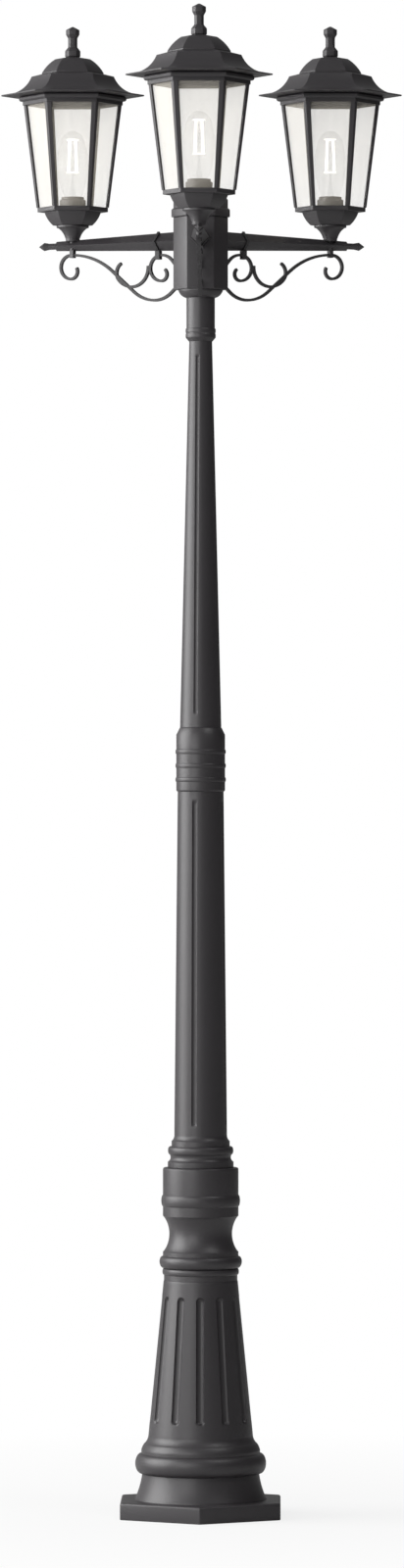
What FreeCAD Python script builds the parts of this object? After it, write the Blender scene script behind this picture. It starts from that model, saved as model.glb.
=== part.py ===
import FreeCAD, Part
import math
import os
import re
import Sketcher
from FreeCAD import Placement, Rotation, Vector

# Triple head lamp post for a garden path or drive, cast in aluminium.
# Millimetres, +Z up, origin at the middle of the foot's underside. The front arm points along -Y,
# the other two at 120 degrees to it. Each piece is drawn in its own frame and then placed:
#   column pieces   on the post's axis, from their own lower face up
#   arm pieces      along +X, with the arm's axis at height 0, then turned to the arm's direction
#   lantern pieces  on the lantern's axis, with height 0 where the lantern stands on its arm

ARMS = {"front": 270, "right": 30, "left": 150}
SHAFT_SIDES = 24  # flats that stand for the round of a long taper

SIZES = (
    # foot and pedestal
    ("foot_flats", 235, "foot, across flats"),
    ("foot_height", 25, "foot"),
    ("foot_edge", 2, "chamfer round the foot's top"),
    ("bolt_circle", 228, "circle of the three fixing holes"),
    ("bolt_hole", 10, "fixing hole, diameter"),
    ("bell_foot_radius", 97, "bell where it leaves the foot"),
    ("bell_radius", 86, "bell under the torus"),
    ("bell_height", 38, "bell"),
    ("bell_hollow", 1.5, "hollow of the bell's side"),
    ("torus_height", 29.6, "large torus"),
    ("torus_swell", 8.9, "large torus beyond its root"),
    ("ovolo_radius", 87.4, "shoulder above the torus"),
    ("ovolo_step", 3.4, "height of the step under the shoulder"),
    ("ovolo_height", 23.4, "shoulder down to the cone"),
    ("ovolo_middle_radius", 83, "shoulder half way"),
    ("cone_foot_radius", 76.9, "fluted cone, foot"),
    ("cone_top_radius", 54.5, "fluted cone, top"),
    ("cone_height", 227.6, "fluted cone"),
    ("pedestal_wall", 9, "pedestal's wall, flutes included"),
    ("cone_flutes", 12, "flutes round the cone"),
    ("cone_flute_margin", 19.6, "plain cone under the flutes"),
    ("cone_flute_length", 185, "flutes of the cone"),
    ("cone_flute_width", 12, "flutes of the cone"),
    ("cone_flute_depth", 4.5, "flutes of the cone"),
    # sockets of the column
    ("socket_clearance", 0.2, "round each spigot in its socket"),
    ("socket_spare", 1, "depth of each socket beyond its spigot"),
    ("pole_spigot_radius", 33, "lower pole in the pedestal"),
    ("pole_spigot_length", 40, "lower pole in the pedestal"),
    ("mast_spigot_radius", 25.5, "upper pole in the lower pole's sleeve"),
    ("mast_spigot_length", 40, "upper pole in the lower pole's sleeve"),
    ("hub_spigot_radius", 12, "upper pole in the hub's floor"),
    ("cable_bore", 8, "cable way through the neck, radius"),
    # vase and cup on the pedestal
    ("collar_radius", 55.6, "vase and cup"),
    ("collar_root_radius", 54, "vase between its rings"),
    ("collar_plain", 8, "plain band under the small ring"),
    ("small_ring_height", 10, "small ring"),
    ("small_ring_swell", 2.3, "small ring"),
    ("vase_ring_height", 18, "ring over the small one"),
    ("vase_ring_swell", 6.4, "ring over the small one"),
    ("vase_band_height", 6, "plain band over the rings"),
    ("vase_neck_height", 53, "hollow neck of the vase"),
    ("vase_neck_hollow", 9.4, "hollow neck of the vase"),
    ("cup_plain", 13.6, "cup under its ring"),
    ("cup_ring_height", 17.4, "ring round the cup"),
    ("cup_ring_swell", 2.4, "ring round the cup"),
    ("cup_height", 40, "cup above its ring"),
    ("cup_edge", 3, "chamfer of the cup's rim"),
    ("collar_wall", 5, "vase"),
    # lower pole
    ("pole_foot_radius", 48.4, "first ring of the pole's foot"),
    ("pole_foot_height", 8.5, "first ring of the pole's foot"),
    ("pole_scotia_height", 10.5, "hollow over the first ring"),
    ("pole_scotia", 2, "depth of that hollow"),
    ("pole_bead_radius", 45.5, "second ring, at its root"),
    ("pole_bead_height", 12, "second ring"),
    ("pole_bead_swell", 2.6, "second ring"),
    ("pole_step_radius", 42.8, "step over the second ring"),
    ("pole_step_height", 8, "step over the second ring"),
    ("pole_cove_height", 8, "cove up to the pole"),
    ("pole_radius", 38.8, "lower pole, foot"),
    ("pole_top_radius", 33.8, "lower pole, top"),
    ("pole_length", 506, "lower pole above its foot rings"),
    ("pole_wall", 5, "lower pole, flutes included"),
    ("pole_flutes", 4, "flutes round each pole"),
    ("pole_turn", 76, "direction of one flute of each pole"),
    ("pole_flute_margin", 14, "plain pole at each end of the flutes"),
    ("pole_flute_width", 8.5, "flutes of the lower pole"),
    ("pole_flute_depth", 2.6, "flutes of the lower pole"),
    # sleeve on the lower pole, which the upper pole stands in
    ("coupling_radius", 35.9, "sleeve"),
    ("coupling_height", 95, "sleeve"),
    ("coupling_foot", 2, "chamfer at its foot"),
    ("coupling_cap", 11, "chamfer at its top, height"),
    ("coupling_cap_radius", 30.7, "sleeve, top"),
    ("coupling_first_bead", 18, "middle of the first bead from the foot"),
    ("coupling_bead_pitch", 20.5, "from bead to bead"),
    ("coupling_bead_height", 7, "beads"),
    ("coupling_bead_swell", 1.1, "beads"),
    # upper pole and its neck under the hub
    ("mast_radius", 30.4, "upper pole, foot"),
    ("mast_top_radius", 16.8, "upper pole, top"),
    ("mast_length", 568, "upper pole"),
    ("mast_wall", 4.3, "upper pole, flutes included"),
    ("mast_flute_margin", 20, "plain pole at each end of the flutes"),
    ("mast_flute_width", 6.5, "flutes of the upper pole"),
    ("mast_flute_depth", 2, "flutes of the upper pole"),
    ("neck_foot_radius", 17.3, "neck on the upper pole"),
    ("neck_cove_height", 5, "neck under its beads"),
    ("neck_bead_radius", 21.9, "neck's two beads"),
    ("neck_bead_height", 7, "each bead"),
    ("neck_groove", 1, "groove between the beads"),
    ("neck_radius", 20.9, "neck's tube"),
    ("neck_tube_height", 45, "neck's tube"),
    ("flare_radius", 32.4, "neck's flare under the hub"),
    ("flare_height", 9.5, "flare up to its rim"),
    ("flare_middle_radius", 28.5, "flare half way"),
    ("flare_rim", 2.5, "upright rim of the flare"),
    # hub
    ("hub_corners", 81, "hub, across corners"),
    ("hub_height", 107, "hub"),
    ("hub_wall", 4, "hub's walls and floor"),
    ("arm_drop", 34, "arm's axis under the hub's rim"),
    ("lid_corners", 87, "lid's band, across corners"),
    ("lid_band_height", 13, "lid's band"),
    ("lid_top_height", 15, "raised part of the lid"),
    ("lid_lip", 5, "lid's lip inside the hub"),
    ("lid_edge", 2, "chamfers of the lid"),
    ("lid_wall", 4, "lid"),
    # arm
    ("arm_reach", 221, "post's axis to lantern's axis"),
    ("arm_overhang", 28, "arm beyond the lantern's axis"),
    ("arm_root", 28.4, "arm at the hub, across corners"),
    ("arm_end", 14, "arm at its end, across corners"),
    ("arm_wall", 2, "arm"),
    ("arm_spigot_radius", 7, "arm in the hub's wall"),
    ("arm_bore", 4.5, "cable way through that spigot, radius"),
    ("seat_rise", 6.2, "flat for the lantern, over the arm's axis"),
    ("seat_drop", 7, "flat for the clip, under the arm's axis"),
    ("tip_neck", 9.6, "neck of the arm's tip, across corners"),
    ("tip_neck_length", 12.5, "neck of the arm's tip"),
    ("tip_spread", 12.6, "arm's tip, across corners at its widest"),
    ("tip_taper_length", 9, "tip, from neck to widest and from there to its point"),
    ("tip_point", 1.2, "blunt end of the tip, across corners"),
    ("tip_pin_corner", 3, "pin of the tip in the arm, to its corners"),
    ("tip_pin_length", 8, "pin of the tip in the arm"),
    # scrolls
    ("bar_thickness", 4, "scroll bars"),
    ("bar_width", 5, "scroll bars"),
    ("curl_drop", 12, "outer curl's top under the arm's axis"),
    ("curl_shift", 2.5, "outer curl's axis beyond the lantern's"),
    ("curl_size", 39.4, "outer curl, outside"),
    ("curl_eye", 13, "radius of the outer curl's end"),
    ("curl_eye_drop", 32, "outer curl's end under the arm's axis"),
    ("shoulder_share", 0.612, "radius of the S between curl and slope, of slope_room"),
    ("belly_reach", 77.5, "lowest point of the S from the post's axis"),
    ("belly_drop", 83.6, "lowest point of the S under the arm's axis"),
    ("belly_share", 0.298, "radius of the S beyond its lowest point, of slope_room"),
    ("belly_back_radius", 40, "S on the hub's side of its lowest point"),
    ("belly_root_drop", 58.5, "S at the hub under the arm's axis"),
    ("ring_reach", 67, "inner curl's axis from the post's axis"),
    ("ring_drop", 17.3, "inner curl's top under the arm's axis"),
    ("ring_size", 42.2, "inner curl, outside"),
    ("ring_eye", 11.5, "radius of the inner curl's end"),
    ("ring_eye_drop", 39, "inner curl's end under the arm's axis"),
    ("ring_shoulder_radius", 26, "inner curl on the hub's side"),
    ("ring_root_drop", 42, "inner curl at the hub under the arm's axis"),
    ("horn_radius", 26, "C scroll, on the hub's side"),
    ("horn_bottom_drop", 62.5, "C scroll's lowest point under the arm's axis"),
    ("horn_end_drop", 34.5, "C scroll's hub-side end under the arm's axis"),
    ("horn_curl_sink", 3.1, "C scroll's curl into the S where they are welded"),
    ("horn_curl_drop", 43.2, "C scroll's curl under the arm's axis"),
    ("horn_curl_radius", 14, "C scroll's curl"),
    ("horn_curl_end_drop", 31, "C scroll's outer end under the arm's axis"),
    ("weld_overlap", 0.4, "scroll bars into each other where they are welded"),
    # strap and clips
    ("clamp_shift", 5.4, "strap beyond the inner curl's axis"),
    ("clamp_width", 4, "strap along the arm"),
    ("clamp_thickness", 1.8, "strap"),
    ("clamp_clearance", 0.2, "strap round the arm, and clips round the bars"),
    ("clip_length", 7.5, "strap's clip along the arm"),
    ("clip_wall", 1.5, "clips beside and under the bars"),
    ("bolt_clip_length", 6, "bolt's clip along the arm"),
    ("bolt_radius", 4.2, "lantern bolt"),
    ("bolt_bore", 2.8, "cable way through the bolt, radius"),
    ("bolt_clearance", 0.2, "round the bolt in arm, bowl and holder"),
    # lantern bowl
    ("boss_radius", 10, "bowl's boss on the arm"),
    ("boss_top_radius", 11, "bowl's boss where the cone starts"),
    ("boss_height", 4.8, "bowl's boss"),
    ("stem_radius", 18.4, "cone under the bowl, top"),
    ("stem_height", 12.6, "cone under the bowl"),
    ("plate_radius", 24, "round plate under the bowl"),
    ("plate_cove", 3, "height from cone to plate"),
    ("plate_height", 3.6, "round plate"),
    ("bowl_foot_flats", 51, "bowl's foot, across flats"),
    ("bowl_top_flats", 73.2, "bowl's top, across flats"),
    ("bowl_height", 19.8, "bowl above its plate"),
    ("bowl_swell", 1.5, "swell of the bowl's sides"),
    ("bowl_wall", 3, "bowl"),
    # lantern cage
    ("sill_corners", 105, "sill, across corners"),
    ("sill_height", 6.5, "sill"),
    ("floor_thickness", 3, "cage's floor"),
    ("cage_foot_corners", 108, "posts at the sill, across corners"),
    ("cage_top_corners", 146, "posts at the frieze, across corners"),
    ("cage_height", 152.2, "posts"),
    ("post_depth", 3.2, "posts and frieze"),
    ("window_foot_width", 44, "opening of each face at the sill"),
    ("window_top_width", 59, "opening of each face at the frieze"),
    ("frieze_corners", 149, "frieze, across corners"),
    ("frieze_height", 5.8, "frieze"),
    ("rim_corners", 160, "rim, across corners"),
    ("rim_height", 7.5, "rim"),
    ("rim_edge", 2, "chamfers of the rim"),
    ("pane_thickness", 2.5, "glass"),
    ("pane_clearance", 0.1, "glass to the posts"),
    ("pane_gap", 0.3, "glass to the mitre with its neighbour"),
    ("pane_rise", 3.5, "glass above the frieze's lower edge"),
    # lampholder and bulb
    ("holder_radius", 15.8, "lampholder below the floor"),
    ("skirt_radius", 19.5, "lampholder's skirt"),
    ("skirt_height", 15, "lampholder's skirt"),
    ("holder_mouth_radius", 16.8, "lampholder's mouth"),
    ("holder_mouth_height", 4.2, "lampholder above its skirt"),
    ("cap_radius", 13.2, "bulb's cap"),
    ("cap_length", 25, "bulb's cap"),
    ("cap_clearance", 0.5, "cap in its holder, round and below"),
    ("contact_radius", 5, "contact under the cap"),
    ("contact_height", 3, "contact and insulator under the cap"),
    ("glass_radius", 22.5, "bulb's glass at its widest"),
    ("glass_neck_radius", 12.8, "bulb's glass at the cap"),
    ("glass_shoulder_radius", 20.6, "bulb's glass half way from the cap to its widest"),
    ("glass_widest", 52, "widest place of the glass above the cap"),
    ("glass_dome_radius", 19, "glass where the dome starts"),
    ("glass_dome", 78, "dome's foot above the cap"),
    ("glass_crown_radius", 13, "flatter crown of the dome, its edge"),
    ("glass_crown", 92, "crown's edge above the cap"),
    ("glass_top_radius", 3, "flat at the top of the glass"),
    ("glass_height", 98.6, "glass above the cap"),
    ("glass_wall", 0.9, "bulb's glass"),
    ("filament_radius", 1.1, "filament rods"),
    ("filament_length", 49, "filament rods"),
    ("filament_spread", 8, "filament rods from the bulb's axis"),
    ("filament_rise", 36, "filament rods above the cap"),
    ("filament_stem_radius", 2.5, "glass stem between the rods"),
    ("spreader_height", 1.2, "carriers at both ends of the rods"),
    # roof and finial
    ("roof_gap", 0.3, "roof over the rim"),
    ("eave_corners", 213, "eaves, across corners"),
    ("eave_edge", 2, "edge of the eaves"),
    ("sweep_flats", 106.4, "top of the swept roof, across flats"),
    ("sweep_height", 27.3, "swept roof above its edge"),
    ("sweep_hollow", 8, "hollow of the swept roof"),
    ("dome_flats", 79.6, "dome's foot, across flats"),
    ("dome_ledge", 3.7, "slope in to the dome"),
    ("dome_band", 2, "upright band at the dome's foot"),
    ("dome_top_flats", 45.6, "dome where its cap starts, across flats"),
    ("dome_height", 20.2, "dome's side"),
    ("dome_swell", 1.4, "dome's side"),
    ("cap_flats", 20, "flat at the roof's top, across flats"),
    ("cap_height", 2.5, "roof's cap"),
    ("roof_wall", 4, "roof"),
    ("lip_depth", 7, "roof's lip inside the rim"),
    ("lip_thickness", 2.4, "roof's lip"),
    ("lip_clearance", 1, "roof's lip inside the rim's opening"),
    ("knob_radius", 11.5, "finial's knob, to its corners"),
    ("knob_height", 9.5, "finial's knob"),
    ("knob_edge", 1.5, "chamfer of the knob's foot"),
    ("waist_radius", 7, "finial's waist, to its corners"),
    ("waist_slope", 5.5, "slopes above and below the waist"),
    ("waist_height", 13.5, "finial's waist"),
    ("crown_radius", 10.2, "finial's crown, to its corners"),
    ("crown_height", 7, "finial's crown"),
    ("point_height", 4.5, "point over the crown"),
    ("point_radius", 1.5, "blunt end of the point"),
    ("finial_pin_radius", 3, "finial's pin in the roof"),
    ("finial_pin_length", 5, "finial's pin in the roof"),
    ("cut_margin", 1, "how far each cut runs past what it cuts"),
)

# Heights of the seats, each built up from the pieces under it.
LEVELS = (
    ("collar_level", "foot_height + bell_height + torus_height + ovolo_step + ovolo_height + cone_height"),
    ("pole_level", "collar_level + collar_plain + small_ring_height + vase_ring_height"
                   " + vase_band_height + vase_neck_height + cup_plain + cup_ring_height + cup_height"),
    ("pole_rings_level", "pole_foot_height + pole_scotia_height + pole_bead_height"
                         " + pole_step_height + pole_cove_height"),
    ("coupling_level", "pole_level + pole_rings_level + pole_length"),
    ("mast_level", "coupling_level + coupling_height"),
    ("neck_level", "mast_level + mast_length"),
    ("hub_level", "neck_level + neck_cove_height + 2 * neck_bead_height + neck_tube_height"
                  " + flare_height + flare_rim"),
    ("lid_level", "hub_level + hub_height"),
    ("arm_level", "lid_level - arm_drop"),
    ("lantern_level", "arm_level + seat_rise"),
    # the rest are heights in the lantern's own frame
    ("bowl_plate_level", "boss_height + stem_height + plate_cove + plate_height"),
    ("bowl_floor_level", "bowl_plate_level + bowl_wall"),
    ("cage_level", "bowl_plate_level + bowl_height"),
    ("sill_level", "cage_level + sill_height"),
    ("frieze_level", "sill_level + cage_height"),
    ("rim_level", "frieze_level + frieze_height"),
    ("eave_level", "rim_level + rim_height + roof_gap"),
    ("cap_level", "cage_level + floor_thickness + skirt_height + holder_mouth_height - cap_length"),
)

# What follows from the sizes: half widths, slopes and the places where pieces meet.
RULES = (
    ("hub_face", "hub_corners / 2 * cos(30)"),
    ("hub_inner_radius", "hub_corners / 2 - hub_wall / cos(30)"),
    ("arm_length", "arm_reach + arm_overhang"),
    ("clamp_reach", "ring_reach + clamp_shift"),
    ("arm_taper", "(arm_root - arm_end) / 2 / (arm_length - hub_face)"),
    ("arm_half_at_clamp", "arm_root / 2 - (clamp_reach - hub_face) * arm_taper"),
    ("arm_half_at_bore_end", "arm_root / 2 - (arm_reach + bolt_radius - hub_face) * arm_taper"),
    ("cage_flare", "(cage_top_corners - cage_foot_corners) / 2 / cage_height"),
    ("cage_inner_foot", "cage_foot_corners / 2 - post_depth / cos(30)"),
    ("cage_inner_floor", "cage_inner_foot - (sill_height - floor_thickness) * cage_flare"),
    ("cage_inner_rim", "cage_inner_foot + (cage_height + frieze_height + rim_height) * cage_flare"),
    ("cage_inner_above", "cage_inner_rim + cut_margin * cage_flare"),
    ("pane_top_radius", "cage_inner_foot + (cage_height + pane_rise) * cage_flare"),
    ("lip_radius", "cage_inner_rim - lip_depth * cage_flare - lip_clearance"),
    ("roof_height", "eave_edge + sweep_height + dome_ledge + dome_band + dome_height + cap_height"),
    ("slope_room", "((arm_reach + curl_shift - belly_reach)^2 + (belly_drop - curl_drop)^2)"
                   " / (2 * (belly_drop - curl_drop))"),
    ("shoulder_radius", "shoulder_share * slope_room"),
    ("belly_radius", "belly_share * slope_room"),
    ("slope_span", "arm_reach + curl_shift - belly_reach"),
    ("slope_rise", "shoulder_radius + belly_radius - belly_drop + curl_drop"),
    ("slope_angle", "asin((shoulder_radius + belly_radius) / sqrt(slope_span^2 + slope_rise^2))"
                    " - atan(slope_rise / slope_span)"),
    ("horn_reach", "ring_reach + ring_size / 2 + bar_thickness + horn_radius - weld_overlap"),
    ("horn_curl_depth", "horn_curl_drop - belly_drop + belly_radius"),
    ("horn_curl_reach", "belly_reach + (belly_radius - horn_curl_radius + horn_curl_sink"
                        " - horn_curl_depth * cos(slope_angle)) / sin(slope_angle)"),
    ("clip_fall", "ring_size / 2 - bar_thickness"
                  " - sqrt((ring_size / 2 - bar_thickness)^2 - (clamp_shift + clip_length / 2)^2)"),
    ("clip_half_width", "bar_width / 2 + clamp_clearance + clip_wall"),
)

doc = FreeCAD.newDocument("triple_head_lamp_post")


def bound(text):
    """Expression in which each named value is written as its cell."""
    text = re.sub(r"\b([a-z]\w*_level)\b", r"Levels.\1", text)
    for name, _ in RULES:
        text = re.sub(r"(?<![\w.])%s\b" % name, "Rules." + name, text)
    return re.sub(r"(?<![\w.])([a-z]\w*_\w+)\b", r"Sizes.\1", text)


def fill_sheet(name, rows):
    """Spreadsheet with one named cell in each row."""
    sheet = doc.addObject("Spreadsheet::Sheet", name)
    for index, row in enumerate(rows, start=1):
        sheet.set("A%d" % index, row[0])
        sheet.set("B%d" % index, str(row[1]))
        sheet.setAlias("B%d" % index, row[0])
        if len(row) > 2:
            sheet.set("C%d" % index, row[2])
    return sheet


sizes = fill_sheet("Sizes", SIZES)
fill_sheet("Rules", [(name, "=" + bound(rule)) for name, rule in RULES])
fill_sheet("Levels", [(name, "=" + bound(rule)) for name, rule in LEVELS])
doc.recompute()


def number(text):
    """Present value of an expression in the named values."""
    return float(sizes.evalExpression(bound(text)))


def bind(thing, path, text):
    """Tie a property of a document object to the sheets."""
    thing.setExpression(path, bound(text))


def new_body(name):
    body = doc.addObject("PartDesign::Body", name)
    body.Label = name
    return body


def origin_part(body, role):
    return next(part for part in body.Origin.OriginFeatures if part.Role == role)


def new_sketch(body, role, name, offset="0"):
    """Sketch on one of the body's own planes, or beside it by an offset."""
    sketch = body.newObject("Sketcher::SketchObject", name)
    sketch.AttachmentSupport = [(origin_part(body, role), "")]
    sketch.MapMode = "FlatFace"
    if offset != "0":
        bind(sketch, "AttachmentOffset.Base.z", offset)
    return sketch


def constrain(sketch, kind, *where, to=None):
    """Add a constraint, and tie its value to the sheets where it has one."""
    if to is None:
        return sketch.addConstraint(Sketcher.Constraint(kind, *where))
    index = sketch.addConstraint(Sketcher.Constraint(kind, *where, number(to)))
    sketch.setExpression("Constraints[%d]" % index, bound(to))
    return index


def hold_point(sketch, edge, end, across, up):
    """Tie a point of an edge to its distances from the sketch's two axes, positive or zero."""
    if across == "0":
        constrain(sketch, "PointOnObject", edge, end, -2)
    else:
        constrain(sketch, "DistanceX", -1, 1, edge, end, to=across)
    if up == "0":
        constrain(sketch, "PointOnObject", edge, end, -1)
    else:
        constrain(sketch, "DistanceY", -1, 1, edge, end, to=up)


def arc_between(start, end, bulge):
    """Arc from start to end that swells to the right by bulge, or to the left if it is negative."""
    chord = end - start
    right = Vector(chord.y, -chord.x, 0).normalize()
    radius = (chord.Length ** 2 / 4 + bulge ** 2) / (2 * abs(bulge))
    middle = (start + end) * 0.5 + right * (bulge - math.copysign(radius, bulge))
    first, last = (start, end) if bulge > 0 else (end, start)
    first_angle = math.atan2(first.y - middle.y, first.x - middle.x)
    last_angle = math.atan2(last.y - middle.y, last.x - middle.x)
    if last_angle < first_angle:
        last_angle += 2 * math.pi
    return Part.ArcOfCircle(Part.Circle(middle, Vector(0, 0, 1), radius), first_angle, last_angle)


def outline(sketch, corners):
    """Closed outline through corners (across, up) or (across, up, bulge).

    A bulge makes the side that arrives at the corner an arc: "x" swells to the right of the
    way it is drawn by x, and "-x" is hollow by x. Drawn anticlockwise, right is outwards.
    """
    points = [Vector(number(corner[0]), number(corner[1]), 0) for corner in corners]
    ends = []
    for index, corner in enumerate(corners):
        if len(corner) == 2:
            sketch.addGeometry(Part.LineSegment(points[index - 1], points[index]), False)
            ends.append((1, 2))
            continue
        hollow = corner[2].startswith("-")
        sketch.addGeometry(arc_between(points[index - 1], points[index], number(corner[2])), False)
        ends.append((2, 1) if hollow else (1, 2))
    for index, corner in enumerate(corners):
        before = (index - 1) % len(corners)
        constrain(sketch, "Coincident", before, ends[before][1], index, ends[index][0])
        hold_point(sketch, index, ends[index][1], corner[0], corner[1])
        if len(corner) > 2:
            rise = corner[2].lstrip("-")
            span = "(((%s)-(%s))^2+((%s)-(%s))^2)" % (corner[0], corners[before][0],
                                                      corner[1], corners[before][1])
            constrain(sketch, "Radius", index, to="%s/(8*(%s))+(%s)/2" % (span, rise, rise))


def polygon(sketch, sides, corner_radius, corner_axis=-1):
    """Regular polygon round the sketch's origin, one corner on the axis -1 (across) or -2 (up)."""
    first = sketch.GeometryCount
    radius = number(corner_radius)
    start = 0 if corner_axis == -1 else math.pi / 2
    turns = [start + 2 * math.pi * index / sides for index in range(sides + 1)]
    points = [Vector(radius * math.cos(turn), radius * math.sin(turn), 0) for turn in turns]
    for index in range(sides):
        sketch.addGeometry(Part.LineSegment(points[index], points[index + 1]), False)
    circle = sketch.addGeometry(Part.Circle(Vector(), Vector(0, 0, 1), radius), True)
    constrain(sketch, "Coincident", circle, 3, -1, 1)
    constrain(sketch, "Radius", circle, to=corner_radius)
    for index in range(sides):
        following = first + (index + 1) % sides
        constrain(sketch, "Coincident", first + index, 2, following, 1)
        constrain(sketch, "PointOnObject", first + index, 1, circle)
    for index in range(1, sides):
        constrain(sketch, "Equal", first, first + index)
    constrain(sketch, "PointOnObject", first, 1, corner_axis)


def circle(sketch, radius, across="0"):
    """Circle on the sketch's level axis."""
    middle = Vector(number(across), 0, 0)
    edge = sketch.addGeometry(Part.Circle(middle, Vector(0, 0, 1), number(radius)), False)
    constrain(sketch, "Radius", edge, to=radius)
    hold_point(sketch, edge, 3, across, "0")


def box(sketch, ends, half_width):
    """Rectangle on the sketch's level axis, from one end to the other and half_width to each side."""
    low, high = [number(end) for end in ends]
    half = number(half_width)
    corners = [Vector(low, -half, 0), Vector(high, -half, 0), Vector(high, half, 0), Vector(low, half, 0)]
    for index in range(4):
        sketch.addGeometry(Part.LineSegment(corners[index], corners[(index + 1) % 4]), False)
    for index in range(4):
        constrain(sketch, "Coincident", index, 2, (index + 1) % 4, 1)
    constrain(sketch, "Horizontal", 0)
    constrain(sketch, "Horizontal", 2)
    constrain(sketch, "Vertical", 1)
    constrain(sketch, "Vertical", 3)
    constrain(sketch, "DistanceX", -1, 1, 3, 2, to=ends[0])
    constrain(sketch, "DistanceX", -1, 1, 1, 2, to=ends[1])
    constrain(sketch, "DistanceY", 0, 1, -1, 1, to=half_width)
    constrain(sketch, "DistanceY", -1, 1, 2, 1, to=half_width)


def turn(body, name, corners, cut=False):
    """Turned solid, or turned cut, of an outline in the plane of the body's axis."""
    sketch = new_sketch(body, "XZ_Plane", name + "_outline")
    outline(sketch, corners)
    feature = body.newObject("PartDesign::Groove" if cut else "PartDesign::Revolution", name)
    feature.Profile = sketch
    feature.ReferenceAxis = (sketch, ["V_Axis"])
    feature.Angle = 360
    return feature


def extrude(body, name, sketch, length, cut=False, both_ways=False, backwards=False):
    """Pad of a sketch, or pocket, to one side of it or to both."""
    feature = body.newObject("PartDesign::Pocket" if cut else "PartDesign::Pad", name)
    feature.Profile = sketch
    feature.SideType = "Symmetric" if both_ways else "One side"
    feature.Reversed = backwards
    bind(feature, "Length", length)
    return feature


def loft(body, name, role, sides, sections, cut=False, corner_axis=-1):
    """Straight-sided loft through regular polygons (corner radius, distance from the plane)."""
    sketches = []
    for index, (corner_radius, offset) in enumerate(sections):
        sketch = new_sketch(body, role, "%s_section_%d" % (name, index + 1), offset)
        polygon(sketch, sides, corner_radius, corner_axis)
        sketches.append(sketch)
    feature = body.newObject("PartDesign::SubtractiveLoft" if cut else "PartDesign::AdditiveLoft", name)
    feature.Profile = sketches[0]
    feature.Sections = sketches[1:]
    feature.Ruled = True
    return feature


def prism(body, name, sides, corner_radius, low, high, cut=False, corner_axis=-1):
    """Upright prism between two heights, added or cut."""
    sketch = new_sketch(body, "XY_Plane", name + "_outline", low)
    polygon(sketch, sides, corner_radius, corner_axis)
    return extrude(body, name, sketch, "(%s) - (%s)" % (high, low), cut, backwards=cut)


def wedge(body, name, low, high, low_corner, high_corner, cut=False):
    """Square bar on edge along +X between two distances, tapering from corner to corner radius."""
    feature = body.newObject("PartDesign::SubtractiveWedge" if cut else "PartDesign::AdditiveWedge", name)
    feature.AttachmentSupport = [(origin_part(body, "XY_Plane"), "")]
    feature.MapMode = "FlatFace"
    on_edge = Rotation(Vector(1, 0, 0), 45) * Rotation(Vector(0, 0, 1), -90)
    feature.AttachmentOffset = Placement(Vector(), on_edge)
    for end, sign in (("min", "-1"), ("max", "1")):
        for axis in "XZ":
            bind(feature, axis + end, "%s * (%s) * cos(45)" % (sign, low_corner))
            bind(feature, axis + "2" + end, "%s * (%s) * cos(45)" % (sign, high_corner))
    bind(feature, "Ymin", low)
    bind(feature, "Ymax", high)
    return feature


def bead(radius, low, high, swell):
    """Three straight sides of a ring round a turned piece, from low up to high."""
    return [
        ("%s + %s" % (radius, swell), "%s + (%s - (%s)) / 4" % (low, high, low)),
        ("%s + %s" % (radius, swell), "%s - (%s - (%s)) / 4" % (high, high, low)),
        (radius, high)]


def raised(level, corners):
    """The same corners with their heights counted from a level."""
    return [(corner[0], "%s + %s" % (level, corner[1])) + corner[2:] for corner in corners]


def repeat(body, feature, count):
    """Polar pattern of a feature round the body's upright axis."""
    pattern = body.newObject("PartDesign::PolarPattern", feature.Name + "_round")
    pattern.Originals = [feature]
    pattern.Axis = (origin_part(body, "Z_Axis"), [""])
    pattern.Angle = 360
    bind(pattern, "Occurrences", count)
    body.Tip = pattern
    return pattern


def carve(body, name, sides, outside, low, high, face):
    """Many-sided solid: a round blank with the same face carved on all its sides.

    face is the outline of one side from its foot up to its top, as distances from the axis.
    """
    blank = new_sketch(body, "XY_Plane", name + "_blank", low)
    circle(blank, outside)
    extrude(body, name + "_block", blank, "(%s) - (%s)" % (high, low))
    sketch = new_sketch(body, "YZ_Plane", name + "_outline")
    outline(sketch, [
        (face[0][0], low + " - cut_margin"),
        (outside + " + cut_margin", low + " - cut_margin"),
        (outside + " + cut_margin", high + " + cut_margin"),
        (face[-1][0], high + " + cut_margin")] + turned_back(face))
    cut = extrude(body, name, sketch, "2 * (%s)" % outside, cut=True, both_ways=True)
    repeat(body, cut, str(sides))


def turned_back(face):
    """The same outline drawn from its top down: each bulge moves to the other end and flips."""
    corners = []
    for index in range(len(face) - 1, -1, -1):
        corner = face[index][:2]
        above = face[index + 1] if index + 1 < len(face) else ()
        if len(above) > 2:
            bulge = above[2]
            corner += (bulge[1:] if bulge.startswith("-") else "-" + bulge,)
        corners.append(corner)
    return corners


def flat(corner_radius):
    """Distance from a hexagon's middle to its side."""
    return "(%s) * cos(30)" % corner_radius


def cut_out(name, solid, room):
    """The solid with its room cut out."""
    result = doc.addObject("Part::Cut", name + "_pattern")
    result.Base = solid
    result.Tool = room
    return result


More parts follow.
